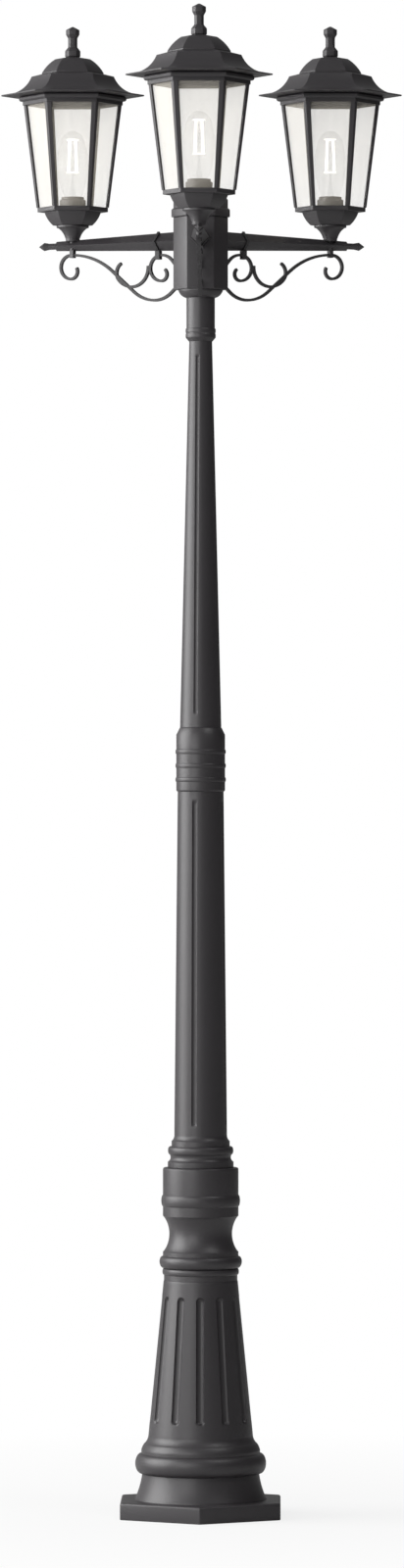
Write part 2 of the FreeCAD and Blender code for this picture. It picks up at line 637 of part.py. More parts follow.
def flute(body, name, low, high, radius_at, width, depth, count):
    """Flutes up a cone: a bar with pointed ends turned about a line along the cone's side.

    radius_at gives the cone's radius at a height, both as expressions.
    """
    tool = "((%s)^2/4+(%s)^2)/(2*(%s))" % (width, depth, depth)
    places = [(radius_at(height) + "+%s-(%s)" % (tool, depth), height) for height in (low, high)]
    sketch = new_sketch(body, "XZ_Plane", name + "_outline")
    foot, head = [Vector(number(across), number(up), 0) for across, up in places]
    along = (head - foot).normalize()
    inwards = Vector(-along.y, along.x, 0) * number(tool)
    point = number(width) / 2
    corners = [foot, head, head - along * point + inwards, foot + along * point + inwards]
    for index in range(4):
        sketch.addGeometry(Part.LineSegment(corners[index], corners[(index + 1) % 4]), False)
    for index in range(4):
        constrain(sketch, "Coincident", index, 2, (index + 1) % 4, 1)
    hold_point(sketch, 0, 1, *places[0])
    hold_point(sketch, 0, 2, *places[1])
    constrain(sketch, "Parallel", 0, 2)
    constrain(sketch, "Equal", 1, 3)
    constrain(sketch, "Distance", 2, 1, 0, to=tool)
    constrain(sketch, "Distance", 1, to="sqrt((%s)^2+(%s)^2/4)" % (tool, width))
    groove = body.newObject("PartDesign::Groove", name)
    groove.Profile = sketch
    groove.ReferenceAxis = (sketch, ["Edge1"])
    groove.Angle = 360
    repeat(body, groove, count)


def stand(piece, level, turned="0"):
    """Place a column piece at its level."""
    piece.Placement = Placement(Vector(), Rotation(Vector(0, 0, 1), 1))
    bind(piece, "Placement.Base.z", level)
    bind(piece, "Placement.Rotation.Angle", turned)
    return piece


# ---------------------------------------------------------------- column

def vase():
    """Side of the vase and the ringed cup over it, which the pole stands in, from its foot up."""
    first = "collar_plain"
    second = first + " + small_ring_height"
    band = second + " + vase_ring_height"
    neck = band + " + vase_band_height"
    cup = neck + " + vase_neck_height"
    ring = cup + " + cup_plain"
    top = ring + " + cup_ring_height"
    side = [("collar_root_radius", "0"), ("collar_root_radius", first)]
    side += bead("collar_root_radius", first, second, "small_ring_swell")
    side += bead("collar_root_radius", second, band, "vase_ring_swell")
    side += [("collar_radius", band), ("collar_radius", neck),
             ("collar_radius", cup, "-vase_neck_hollow"), ("collar_radius", ring)]
    side += bead("collar_radius", ring, top, "cup_ring_swell")
    return side + [("collar_radius", top + " + cup_height - cup_edge"),
                   ("collar_radius - cup_edge", top + " + cup_height")]


def build_pedestal():
    """Hexagonal foot, bell, torus and shoulder, fluted cone and vase: one hollow casting."""
    body = new_body("base_pedestal")
    loft(body, "foot", "XY_Plane", 6, [
        ("foot_flats / 2 / cos(30)", "0"),
        ("foot_flats / 2 / cos(30)", "foot_height - foot_edge"),
        ("foot_flats / 2 / cos(30) - foot_edge", "foot_height")], corner_axis=-2)
    torus = "foot_height + bell_height"
    step = torus + " + torus_height"
    shoulder = step + " + ovolo_step"
    cone = shoulder + " + ovolo_height"
    turn(body, "shaft", [
        ("0", "foot_height - foot_edge"),
        ("bell_foot_radius", "foot_height - foot_edge"),
        ("bell_foot_radius", "foot_height"),
        ("(bell_foot_radius + bell_radius) / 2 - bell_hollow", "foot_height + bell_height / 2"),
        ("bell_radius", torus),
        ("ovolo_radius", step, "torus_swell"),
        ("ovolo_radius", shoulder),
        ("ovolo_middle_radius", shoulder + " + ovolo_height / 2"),
        ("cone_foot_radius", cone),
        ("0", cone)])
    loft(body, "cone", "XY_Plane", SHAFT_SIDES, [
        ("cone_foot_radius", cone), ("cone_top_radius", "collar_level")])
    turn(body, "vase", [("0", "collar_level")] + raised("collar_level", vase()) + [("0", "pole_level")])
    socket = "pole_spigot_radius + socket_clearance"
    floor = "pole_level - pole_spigot_length - socket_spare"
    foot_room = "bell_radius - pedestal_wall"
    cone_room = "(cone_foot_radius + cone_top_radius) / 2 - pedestal_wall"
    vase_room = "collar_radius - vase_neck_hollow - collar_wall"
    turn(body, "hollow", [
        ("0", "0"),
        (foot_room, "0"),
        (foot_room, step),
        (cone_room, step),
        (cone_room, cone + " + cone_height / 2"),
        (vase_room, cone + " + cone_height / 2"),
        (vase_room, floor),
        (socket, floor),
        (socket, "pole_level + cut_margin"),
        ("0", "pole_level + cut_margin")], cut=True)
    slope = "(cone_foot_radius - cone_top_radius) / cone_height"
    flute(body, "cone_flute", cone + " + cone_flute_margin",
          cone + " + cone_flute_margin + cone_flute_length",
          lambda height: "cone_foot_radius-(%s)*(%s-(%s))" % (slope, height, cone),
          "cone_flute_width", "cone_flute_depth", "cone_flutes")
    holes = new_sketch(body, "YZ_Plane", "bolt_hole_outline")
    outline(holes, [
        ("bolt_circle / 2 - bolt_hole / 2", "0"),
        ("bolt_circle / 2", "0"),
        ("bolt_circle / 2", "foot_height + cut_margin"),
        ("bolt_circle / 2 - bolt_hole / 2", "foot_height + cut_margin")])
    drill = body.newObject("PartDesign::Groove", "bolt_holes")
    drill.Profile = holes
    drill.ReferenceAxis = (holes, ["Edge3"])
    drill.Angle = 360
    repeat(body, drill, "3")


def build_pole(name, level, spigot, foot, taper, head, rooms, flutes):
    """Tapered fluted tube between its turned foot and head, hollow, with a spigot below."""
    body = stand(new_body(name), level, "pole_turn")
    spigot_radius, spigot_length = spigot
    low, foot_radius, high, top_radius = taper
    top = head[-1][1]
    if foot:
        turn(body, "rings", [("0", "0")] + foot + [("0", low)])
    loft(body, "shaft", "XY_Plane", SHAFT_SIDES, [(foot_radius, low), (top_radius, high)])
    turn(body, "head", [("0", high)] + head + [("0", top)])
    circle_below = new_sketch(body, "XY_Plane", "spigot_outline")
    circle(circle_below, spigot_radius)
    extrude(body, "spigot", circle_below, spigot_length, backwards=True)
    steps = []
    floor = "0"
    for radius, ceiling in rooms:
        steps += [(radius, floor), (radius, ceiling)]
        floor = ceiling
    turn(body, "bore", [("0", "0")] + steps + [("0", floor)], cut=True)
    way = new_sketch(body, "XY_Plane", "way_outline")
    circle(way, rooms[0][0])
    extrude(body, "way", way, "2 * (%s + cut_margin)" % spigot_length, cut=True, both_ways=True)
    margin, width, depth = flutes
    slope = "((%s)-(%s))/(%s-(%s))" % (foot_radius, top_radius, high, low)
    flute(body, "flute", "%s + %s" % (low, margin), "%s - %s" % (high, margin),
          lambda height: "%s-%s*(%s-(%s))" % (foot_radius, slope, height, low),
          width, depth, "pole_flutes")


def build_lower_pole():
    """Lower pole on its ringed foot, with a beaded sleeve on top for the upper pole."""
    scotia = "pole_foot_height"
    ring = scotia + " + pole_scotia_height"
    step = ring + " + pole_bead_height"
    cove = step + " + pole_step_height"
    foot = [
        ("pole_foot_radius", "0"),
        ("pole_foot_radius", scotia),
        ("pole_bead_radius - pole_scotia", scotia + " + pole_scotia_height / 2"),
        ("pole_bead_radius", ring)]
    foot += bead("pole_bead_radius", ring, step, "pole_bead_swell") + [
        ("pole_step_radius", step),
        ("pole_step_radius", cove),
        ("pole_radius", "pole_rings_level")]
    sleeve = [("coupling_radius - coupling_foot", "0"), ("coupling_radius", "coupling_foot")]
    for index in range(3):
        middle = "coupling_first_bead + %d * coupling_bead_pitch" % index
        sleeve.append(("coupling_radius", middle + " - coupling_bead_height / 2"))
        sleeve.append(("coupling_radius + coupling_bead_swell", middle))
        sleeve.append(("coupling_radius", middle + " + coupling_bead_height / 2"))
    sleeve += [
        ("coupling_radius", "coupling_height - coupling_cap"),
        ("coupling_cap_radius", "coupling_height")]
    shoulder = "(pole_rings_level + pole_length)"
    build_pole("lower_pole", "pole_level", ("pole_spigot_radius", "pole_spigot_length"), foot,
               ("pole_rings_level", "pole_radius", shoulder, "pole_top_radius"),
               raised(shoulder, sleeve),
               [("pole_spigot_radius - pole_wall",
                 shoulder + " + coupling_height - mast_spigot_length - socket_spare"),
                ("mast_spigot_radius + socket_clearance", shoulder + " + coupling_height + cut_margin")],
               ("pole_flute_margin", "pole_flute_width", "pole_flute_depth"))


def build_upper_pole():
    """Upper pole, with two beads, a plain neck and a flare under the hub."""
    beads = "neck_cove_height + neck_bead_height"
    tube = beads + " + neck_bead_height"
    flare = tube + " + neck_tube_height"
    rim = flare + " + flare_height"
    top = rim + " + flare_rim"
    neck = [
        ("neck_foot_radius", "0"),
        ("neck_bead_radius", "neck_cove_height"),
        ("neck_bead_radius", beads + " - neck_groove"),
        ("neck_bead_radius - neck_groove", beads),
        ("neck_bead_radius", beads + " + neck_groove"),
        ("neck_bead_radius", tube),
        ("neck_radius", tube),
        ("neck_radius", flare),
        ("flare_middle_radius", flare + " + flare_height / 2"),
        ("flare_radius", rim),
        ("flare_radius", top),
        ("hub_spigot_radius", top),
        ("hub_spigot_radius", top + " + hub_wall")]
    build_pole("upper_pole", "mast_level", ("mast_spigot_radius", "mast_spigot_length"), [],
               ("0", "mast_radius", "mast_length", "mast_top_radius"),
               raised("mast_length", neck),
               [("(mast_radius + mast_top_radius) / 2 - mast_wall", "mast_length / 2"),
                ("mast_top_radius - mast_wall", "mast_length"),
                ("cable_bore", "mast_length + %s + hub_wall + cut_margin" % top)],
               ("mast_flute_margin", "mast_flute_width", "mast_flute_depth"))


def build_hub():
    """Hexagonal hub, open at the top, with a hole in three of its faces for the arms."""
    body = stand(new_body("hub_housing"), "hub_level")
    loft(body, "walls", "XY_Plane", 6, [("hub_corners / 2", "0"), ("hub_corners / 2", "hub_height")])
    loft(body, "room", "XY_Plane", 6, [
        ("hub_inner_radius", "hub_wall"),
        ("hub_inner_radius", "hub_height + cut_margin")], cut=True)
    floor = new_sketch(body, "XY_Plane", "floor_hole_outline")
    circle(floor, "hub_spigot_radius + socket_clearance")
    extrude(body, "floor_hole", floor, "4 * hub_wall", cut=True, both_ways=True)
    hole = new_sketch(body, "XZ_Plane", "arm_hole_outline")
    middle = Vector(0, number("hub_height - arm_drop"), 0)
    radius = "arm_spigot_radius + socket_clearance"
    edge = hole.addGeometry(Part.Circle(middle, Vector(0, 0, 1), number(radius)), False)
    constrain(hole, "Radius", edge, to=radius)
    hold_point(hole, edge, 3, "0", "hub_height - arm_drop")
    holes = extrude(body, "arm_hole", hole, "hub_corners", cut=True, backwards=True)
    repeat(body, holes, "3")


def build_lid():
    """Hexagonal lid with an overhanging band and a lip inside the hub."""
    body = stand(new_body("hub_lid"), "lid_level")
    loft(body, "band", "XY_Plane", 6, [
        ("lid_corners / 2", "0"),
        ("lid_corners / 2", "lid_band_height - lid_edge"),
        ("lid_corners / 2 - lid_edge", "lid_band_height")])
    top = "lid_band_height + lid_top_height"
    loft(body, "raised_part", "XY_Plane", 6, [
        ("hub_corners / 2", "lid_band_height - lid_edge"),
        ("hub_corners / 2", top + " - lid_edge"),
        ("hub_corners / 2 - lid_edge", top)])
    loft(body, "lip", "XY_Plane", 6, [
        ("hub_inner_radius - socket_clearance", "-1 * lid_lip"),
        ("hub_inner_radius - socket_clearance", "lid_edge")])
    loft(body, "hollow", "XY_Plane", 6, [
        ("hub_inner_radius - lid_wall", "-1 * lid_lip - cut_margin"),
        ("hub_inner_radius - lid_wall", top + " - lid_wall")], cut=True)


# ---------------------------------------------------------------- arm, drawn along +X

def build_arm():
    """Square tube on edge, tapered, with a spigot in the hub and flats for bolt and lantern."""
    body = new_body("arm_pattern")
    wedge(body, "tube", "hub_face", "arm_length", "arm_root / 2", "arm_end / 2")
    spigot = new_sketch(body, "YZ_Plane", "spigot_outline", "hub_face")
    circle(spigot, "arm_spigot_radius")
    extrude(body, "spigot", spigot, "hub_wall", backwards=True)
    wedge(body, "bore", "hub_face + arm_wall", "arm_reach + bolt_radius",
          "arm_root / 2 - arm_wall / cos(45)", "arm_half_at_bore_end - arm_wall / cos(45)", cut=True)
    way = new_sketch(body, "YZ_Plane", "way_outline", "hub_face")
    circle(way, "arm_bore")
    extrude(body, "way", way, "2 * (hub_wall + cut_margin)", cut=True, both_ways=True)
    seat_half = "boss_top_radius + clamp_clearance"
    seat = new_sketch(body, "XZ_Plane", "lantern_seat_outline")
    outline(seat, [
        ("arm_reach - (%s)" % seat_half, "seat_rise"),
        ("arm_reach + " + seat_half, "seat_rise"),
        ("arm_reach + " + seat_half, "arm_root"),
        ("arm_reach - (%s)" % seat_half, "arm_root")])
    extrude(body, "lantern_seat", seat, "2 * boss_radius", cut=True, both_ways=True)
    clip = new_sketch(body, "XY_Plane", "clip_seat_outline", "-1 * seat_drop")
    outline(clip, [
        ("arm_reach - bolt_clip_length", "0"),
        ("arm_reach + bolt_clip_length", "0"),
        ("arm_reach + bolt_clip_length", "boss_radius"),
        ("arm_reach - bolt_clip_length", "boss_radius")])
    extrude(body, "clip_seat", clip, "arm_root", cut=True)
    hole = new_sketch(body, "XY_Plane", "bolt_hole_outline")
    circle(hole, "bolt_radius + bolt_clearance", "arm_reach")
    extrude(body, "bolt_hole", hole, "2 * arm_root", cut=True, both_ways=True)
    hole_corner = "tip_pin_corner + clamp_clearance"
    wedge(body, "pin_hole", "arm_length - tip_pin_length - socket_spare", "arm_length + cut_margin",
          hole_corner, hole_corner, cut=True)
    return body


def build_tip():
    """Pointed end of the arm, on a pin in the arm's end."""
    body = new_body("arm_tip_pattern")
    neck = "arm_length + tip_neck_length"
    spread = neck + " + tip_taper_length"
    wedge(body, "neck", "arm_length", neck, "tip_neck / 2", "tip_neck / 2")
    wedge(body, "spread", neck, spread, "tip_neck / 2", "tip_spread / 2")
    wedge(body, "point", spread, spread + " + tip_taper_length", "tip_spread / 2", "tip_point / 2")
    wedge(body, "pin", "arm_length - tip_pin_length", "arm_length", "tip_pin_corner", "tip_pin_corner")
    return body


def bar_sketch(name, edges):
    """Upright sketch of one scroll bar's edge line, tangent all along: the bar lies under it."""
    sketch = doc.addObject("Sketcher::SketchObject", name)
    sketch.Placement = Placement(Vector(), Rotation(Vector(1, 0, 0), 90))
    sketch.addGeometry(edges, False)
    return sketch


def arc_at(across, drop, radius, first, last):
    """Arc with its middle at (across, -drop), from one angle to another."""
    ring = Part.Circle(Vector(across, -drop, 0), Vector(0, 0, 1), radius)
    return Part.ArcOfCircle(ring, math.radians(first), math.radians(last))


def drop_point(sketch, edge, end, across=None, drop=None):
    """Tie a point to its distance from the post's axis and its drop below the arm's axis."""
    if across:
        constrain(sketch, "DistanceX", -1, 1, edge, end, to=across)
    if drop:
        constrain(sketch, "DistanceY", edge, end, -1, 1, to=drop)


def curl(sketch, eye, ring, shoulder, across, top, size, eye_radius, eye_drop, shoulder_radius):
    """Curl of three arcs one over another: its eye, its half ring and the shoulder that leaves it."""
    constrain(sketch, "Tangent", eye, 2, ring, 1)
    constrain(sketch, "Tangent", ring, 2, shoulder, 1)
    constrain(sketch, "Vertical", ring, 3, ring, 2)
    constrain(sketch, "Vertical", ring, 3, ring, 1)
    drop_point(sketch, ring, 2, across, top)
    drop_point(sketch, ring, 1, drop="%s + %s" % (top, size))
    constrain(sketch, "Radius", eye, to=eye_radius)
    drop_point(sketch, eye, 1, drop=eye_drop)
    constrain(sketch, "Radius", shoulder, to=shoulder_radius)


def s_scroll():
    """S from its outer curl over the shoulder and down a straight slope, under and back to the hub."""
    middle = number("arm_reach + curl_shift")
    top = number("curl_drop")
    size = number("curl_size")
    eye = number("curl_eye")
    shoulder = number("shoulder_radius")
    low = number("belly_drop")
    reach = number("belly_reach")
    belly = number("belly_radius")
    back = number("belly_back_radius")
    slope = number("slope_angle")
    sink = math.radians(slope)
    sketch = bar_sketch("s_scroll_line", [
        arc_at(middle, top + size - eye, eye, 145, 270),
        arc_at(middle, top + size / 2, size / 2, 270, 450),
        arc_at(middle, top + shoulder, shoulder, 90, 90 + slope),
        Part.LineSegment(
            Vector(middle - shoulder * math.sin(sink), shoulder * math.cos(sink) - top - shoulder, 0),
            Vector(reach + belly * math.sin(sink), belly - belly * math.cos(sink) - low, 0)),
        arc_at(reach, low - belly, belly, 270, 270 + slope),
        arc_at(reach, low - back, back, 225, 270),
        Part.LineSegment(Vector(reach - back * 0.7, back * 0.3 - low, 0),
                         Vector(number("hub_face - cut_margin"), -number("belly_root_drop"), 0))])
    curl(sketch, 0, 1, 2, "arm_reach + curl_shift", "curl_drop", "curl_size", "curl_eye", "curl_eye_drop",
         "shoulder_radius")
    constrain(sketch, "Tangent", 2, 2, 3, 1)
    constrain(sketch, "Tangent", 3, 2, 4, 2)
    constrain(sketch, "Tangent", 4, 1, 5, 2)
    constrain(sketch, "Tangent", 5, 1, 6, 1)
    constrain(sketch, "Vertical", 4, 3, 4, 1)
    constrain(sketch, "Radius", 4, to="belly_radius")
    constrain(sketch, "Radius", 5, to="belly_back_radius")
    drop_point(sketch, 4, 1, "belly_reach", "belly_drop")
    drop_point(sketch, 6, 2, "hub_face - cut_margin", "belly_root_drop")
    return sketch


def ring_scroll():
    """Inner curl, which the strap holds at its top, and its tail to the hub."""
    middle = number("ring_reach")
    top = number("ring_drop")
    size = number("ring_size")
    eye = number("ring_eye")
    shoulder = number("ring_shoulder_radius")
    sketch = bar_sketch("ring_scroll_line", [
        arc_at(middle, top + size - eye, eye, 118, 270),
        arc_at(middle, top + size / 2, size / 2, 270, 450),
        arc_at(middle, top + shoulder, shoulder, 90, 145),
        Part.LineSegment(Vector(middle - shoulder * 0.82, shoulder * 0.57 - top - shoulder, 0),
                         Vector(number("hub_face - cut_margin"), -number("ring_root_drop"), 0))])
    curl(sketch, 0, 1, 2, "ring_reach", "ring_drop", "ring_size", "ring_eye", "ring_eye_drop",
         "ring_shoulder_radius")
    constrain(sketch, "Tangent", 2, 2, 3, 1)
    drop_point(sketch, 3, 2, "hub_face - cut_margin", "ring_root_drop")
    return sketch


def c_scroll():
    """C between the other two: a wide arc on the hub's side and a small curl on the S."""
    middle = number("horn_reach")
    low = number("horn_bottom_drop")
    horn = number("horn_radius")
    turn_reach = number("horn_curl_reach")
    turn_drop = number("horn_curl_drop")
    turn_radius = number("horn_curl_radius")
    sketch = bar_sketch("c_scroll_line", [
        arc_at(turn_reach, turn_drop, turn_radius, 300, 430),
        arc_at(middle, low - 30, 30, 270, 300),
        arc_at(middle, low - horn, horn, 176, 270)])
    constrain(sketch, "Tangent", 0, 1, 1, 2)
    constrain(sketch, "Tangent", 1, 1, 2, 2)
    constrain(sketch, "Vertical", 2, 3, 2, 2)
    constrain(sketch, "Radius", 0, to="horn_curl_radius")
    drop_point(sketch, 0, 3, "horn_curl_reach", "horn_curl_drop")
    drop_point(sketch, 0, 2, drop="horn_curl_end_drop")
    constrain(sketch, "Radius", 2, to="horn_radius")
    drop_point(sketch, 2, 2, "horn_reach", "horn_bottom_drop")
    drop_point(sketch, 2, 1, drop="horn_end_drop")
    return sketch


def build_scroll():
    """Bracket of three bars, welded where they touch and cut off flush with the hub's face."""
    bars = []
    for name, sketch, side in (("s_scroll", s_scroll(), "1"), ("ring_scroll", ring_scroll(), "1"),
                               ("c_scroll", c_scroll(), "-1")):
        band = doc.addObject("Part::Offset2D", name + "_band")
        band.Source = sketch
        bind(band, "Value", side + " * bar_thickness")
        band.Mode = "Skin"
        band.Join = "Arc"
        band.Fill = True
        bar = doc.addObject("Part::Extrusion", name + "_bar")
        bar.Base = band
        bar.DirMode = "Normal"
        bar.Symmetric = True
        bar.Solid = True
        bind(bar, "LengthFwd", "bar_width")
        bars.append(bar)
    welded = doc.addObject("Part::MultiFuse", "welded_bars")
    welded.Shapes = bars
    welded.Refine = True
    hub_side = doc.addObject("Part::Box", "hub_side")
    bind(hub_side, "Length", "2 * hub_face")
    bind(hub_side, "Width", "2 * hub_face")
    bind(hub_side, "Height", "4 * hub_face")
    bind(hub_side, "Placement.Base.x", "-1 * hub_face")
    bind(hub_side, "Placement.Base.y", "-1 * hub_face")
    bind(hub_side, "Placement.Base.z", "-4 * hub_face")
    scroll = doc.addObject("Part::Cut", "scroll_pattern")
    scroll.Base = welded
    scroll.Tool = hub_side
    return scroll


def build_clamp():
    """Strap round the arm with a clip under it that holds the inner curl's top."""
    body = new_body("scroll_clamp_pattern")
    strap = new_sketch(body, "YZ_Plane", "strap_outline", "clamp_reach")
    polygon(strap, 4, "arm_half_at_clamp + clamp_clearance + clamp_thickness / cos(45)")
    extrude(body, "strap", strap, "clamp_width", both_ways=True)
    clip = new_sketch(body, "XY_Plane", "clip_outline", "-1 * arm_half_at_clamp")
    clip_ends = ["clamp_reach - clip_length / 2", "clamp_reach + clip_length / 2"]
    box(clip, clip_ends, "clip_half_width")
    bottom = "ring_drop + bar_thickness + clip_fall + clamp_clearance + clip_wall"
    extrude(body, "clip", clip, bottom + " - arm_half_at_clamp", backwards=True)
    inside = new_sketch(body, "YZ_Plane", "strap_inside", "clamp_reach")
    polygon(inside, 4, "arm_half_at_clamp + clamp_clearance")
    extrude(body, "strap_hole", inside, "2 * clip_length", cut=True, both_ways=True)
    slot = new_sketch(body, "XY_Plane", "slot_outline", "-1 * (ring_drop - clamp_clearance)")
    box(slot, ["clamp_reach - clip_length", "clamp_reach + clip_length"],
        "bar_width / 2 + clamp_clearance")
    extrude(body, "slot", slot, "bar_thickness + clip_fall + 2 * clamp_clearance", cut=True)
    return body


def build_bolt():
    """Hollow bolt through arm and bowl, with a slotted clip below that holds the outer curl."""
    body = new_body("lantern_bolt_pattern")
    shank = new_sketch(body, "XY_Plane", "shank_outline", "-1 * seat_drop - clip_wall")
    circle(shank, "bolt_radius", "arm_reach")
    extrude(body, "shank", shank, "seat_drop + clip_wall + seat_rise + bowl_floor_level + bolt_radius")
    clip = new_sketch(body, "XY_Plane", "clip_outline", "-1 * seat_drop")
    box(clip, ["arm_reach - bolt_clip_length / 2", "arm_reach + bolt_clip_length / 2"], "clip_half_width")
    bottom = "curl_drop + bar_thickness + 3 * clamp_clearance + clip_wall"
    extrude(body, "clip", clip, bottom + " - seat_drop", backwards=True)
    slot = new_sketch(body, "XY_Plane", "slot_outline", "-1 * (curl_drop - clamp_clearance)")
    box(slot, ["arm_reach - bolt_clip_length", "arm_reach + bolt_clip_length"],
        "bar_width / 2 + clamp_clearance")
    extrude(body, "slot", slot, "bar_thickness + 4 * clamp_clearance", cut=True)
    way = new_sketch(body, "XY_Plane", "way_outline", "-1 * seat_drop")
    circle(way, "bolt_bore", "arm_reach")
    extrude(body, "way", way, "seat_drop + seat_rise + bowl_floor_level + 2 * bolt_radius",
            cut=True, backwards=True)
    return body


# ---------------------------------------------------------------- lantern, on its own axis

def build_bowl():
    """Boss, cone and round plate under a swelling hexagonal bowl."""
    side = new_body("lantern_bowl_side")
    carve(side, "side", 6, "bowl_top_flats / 2 / cos(30)", "bowl_plate_level", "cage_level", [
        ("bowl_foot_flats / 2", "bowl_plate_level"),
        ("bowl_top_flats / 2", "cage_level", "bowl_swell")])
    cone = "boss_height + stem_height"
    stem = new_body("lantern_bowl_stem")
    carve(stem, "stem", 12, "plate_radius / cos(15)", "0", "bowl_plate_level", [
        ("boss_radius", "0"),
        ("boss_top_radius", "boss_height"),
        ("stem_radius", cone),
        ("plate_radius", cone + " + plate_cove"),
        ("plate_radius", "bowl_plate_level")])
    bowl = doc.addObject("Part::MultiFuse", "lantern_bowl_solid")
    bowl.Shapes = [side, stem]
    bowl.Refine = True
    room = new_body("lantern_bowl_room")
    carve(room, "side", 6, "bowl_top_flats / 2 / cos(30)", "bowl_floor_level", "cage_level + cut_margin", [
        ("bowl_foot_flats / 2 - bowl_wall", "bowl_floor_level"),
        ("bowl_top_flats / 2 - bowl_wall", "cage_level + cut_margin")])
    prism(room, "bolt_hole", 12, "(bolt_radius + bolt_clearance) / cos(15)", "-1 * cut_margin",
          "bowl_floor_level")
    return cut_out("lantern_bowl", bowl, room)


def build_cage():
    """Sill and floor, six flaring posts, frieze and rim: one hexagonal casting with six windows."""
    body = new_body("lantern_cage_solid")
    top = "(rim_level + rim_height)"
    carve(body, "side", 6, "rim_corners / 2", "cage_level", top, [
        (flat("sill_corners / 2"), "cage_level"),
        (flat("sill_corners / 2"), "sill_level"),
        (flat("cage_foot_corners / 2"), "sill_level"),
        (flat("cage_top_corners / 2"), "frieze_level"),
        (flat("frieze_corners / 2"), "frieze_level"),
        (flat("frieze_corners / 2"), "rim_level"),
        (flat("rim_corners / 2 - rim_edge"), "rim_level"),
        (flat("rim_corners / 2"), "rim_level + rim_edge"),
        (flat("rim_corners / 2"), top + " - rim_edge"),
        (flat("rim_corners / 2 - rim_edge"), top)])
    window = new_sketch(body, "XZ_Plane", "window_outline")
    trapezoid(window, "window_foot_width / 2", "window_top_width / 2", "sill_level", "frieze_level")
    windows = extrude(body, "window", window, "cage_top_corners", cut=True)
    repeat(body, windows, "6")
    hole = new_sketch(body, "XY_Plane", "holder_hole_outline")
    circle(hole, "holder_radius + socket_clearance")
    extrude(body, "holder_hole", hole, "2 * (cage_level + 2 * floor_thickness)", cut=True, both_ways=True)
    room = new_body("lantern_cage_room")
    carve(room, "side", 6, "rim_corners / 2", "cage_level + floor_thickness", top + " + cut_margin", [
        (flat("cage_inner_floor"), "cage_level + floor_thickness"),
        (flat("cage_inner_above"), top + " + cut_margin")])
    return cut_out("lantern_cage", body, room)


def trapezoid(sketch, low_half, high_half, low, high):
    """Upright trapezoid, the same to both sides of the sketch's upright axis."""
    corners = [Vector(number(low_half), number(low), 0), Vector(number(high_half), number(high), 0),
               Vector(-number(high_half), number(high), 0), Vector(-number(low_half), number(low), 0)]
    for index in range(4):
        sketch.addGeometry(Part.LineSegment(corners[index], corners[(index + 1) % 4]), False)
    for index in range(4):
        constrain(sketch, "Coincident", index, 2, (index + 1) % 4, 1)
    hold_point(sketch, 0, 1, low_half, low)
    hold_point(sketch, 0, 2, high_half, high)
    constrain(sketch, "Symmetric", 0, 1, 3, 1, -2)
    constrain(sketch, "Symmetric", 0, 2, 2, 1, -2)


def build_panes():
    """Six flat panes behind the posts, standing on the cage's floor."""
    panes = []
    mitre = "pane_thickness * tan(30) - pane_gap"
    low = "cage_inner_floor"
    high = "pane_top_radius"
    for index in range(6):
        pane = doc.addObject("Part::Wedge", "pane_%d" % (index + 1))
        for edge, sign in (("min", "-1"), ("max", "1")):
            bind(pane, "X" + edge, "%s * ((%s) / 2 - %s)" % (sign, low, mitre))
            bind(pane, "X2" + edge, "%s * ((%s) / 2 - %s)" % (sign, high, mitre))
        for path, radius in (("Z", low), ("Z2", high)):
            bind(pane, path + "min", "%s * cos(30) - pane_clearance - pane_thickness" % radius)
            bind(pane, path + "max", "%s * cos(30) - pane_clearance" % radius)
        bind(pane, "Ymax", "frieze_level + pane_rise - cage_level - floor_thickness")
        upright = Rotation(Vector(0, 0, 1), 60 * index) * Rotation(Vector(1, 0, 0), 90)
        pane.Placement = Placement(Vector(), upright)
        bind(pane, "Placement.Base.z", "cage_level + floor_thickness")
        panes.append(pane)
    group = doc.addObject("Part::Compound", "glass_panes_pattern")
    group.Links = panes
    return group


def build_holder():
    """Insulated lampholder: body through the floor, skirt on it, and a bore for the cap."""
    body = new_body("lampholder_pattern")
    floor = "cage_level + floor_thickness"
    skirt = floor + " + skirt_height"
    mouth = skirt + " + holder_mouth_height"
    prism(body, "body", 12, "holder_radius", "bowl_floor_level", floor)
    prism(body, "skirt", 12, "skirt_radius", floor, skirt)
    prism(body, "mouth", 12, "holder_mouth_radius", skirt, mouth)
    prism(body, "bolt_hole", 12, "(bolt_radius + bolt_clearance) / cos(15)", "bowl_floor_level", floor,
          cut=True)
    prism(body, "bore", 12, "cap_radius + cap_clearance", "cap_level - contact_height - cap_clearance",
          mouth, cut=True)
    return body


def glass_side(inset):
    """Side of the bulb's glass from its neck to its top, drawn in by an inset."""
    foot = "cap_level + cap_length"
    return [
        ("glass_neck_radius - " + inset, foot),
        ("glass_shoulder_radius - " + inset, foot + " + glass_widest / 2"),
        ("glass_radius - " + inset, foot + " + glass_widest"),
        ("glass_dome_radius - " + inset, foot + " + glass_dome"),
        ("glass_crown_radius - " + inset, foot + " + glass_crown - " + inset),
        ("glass_top_radius", foot + " + glass_height - " + inset)]


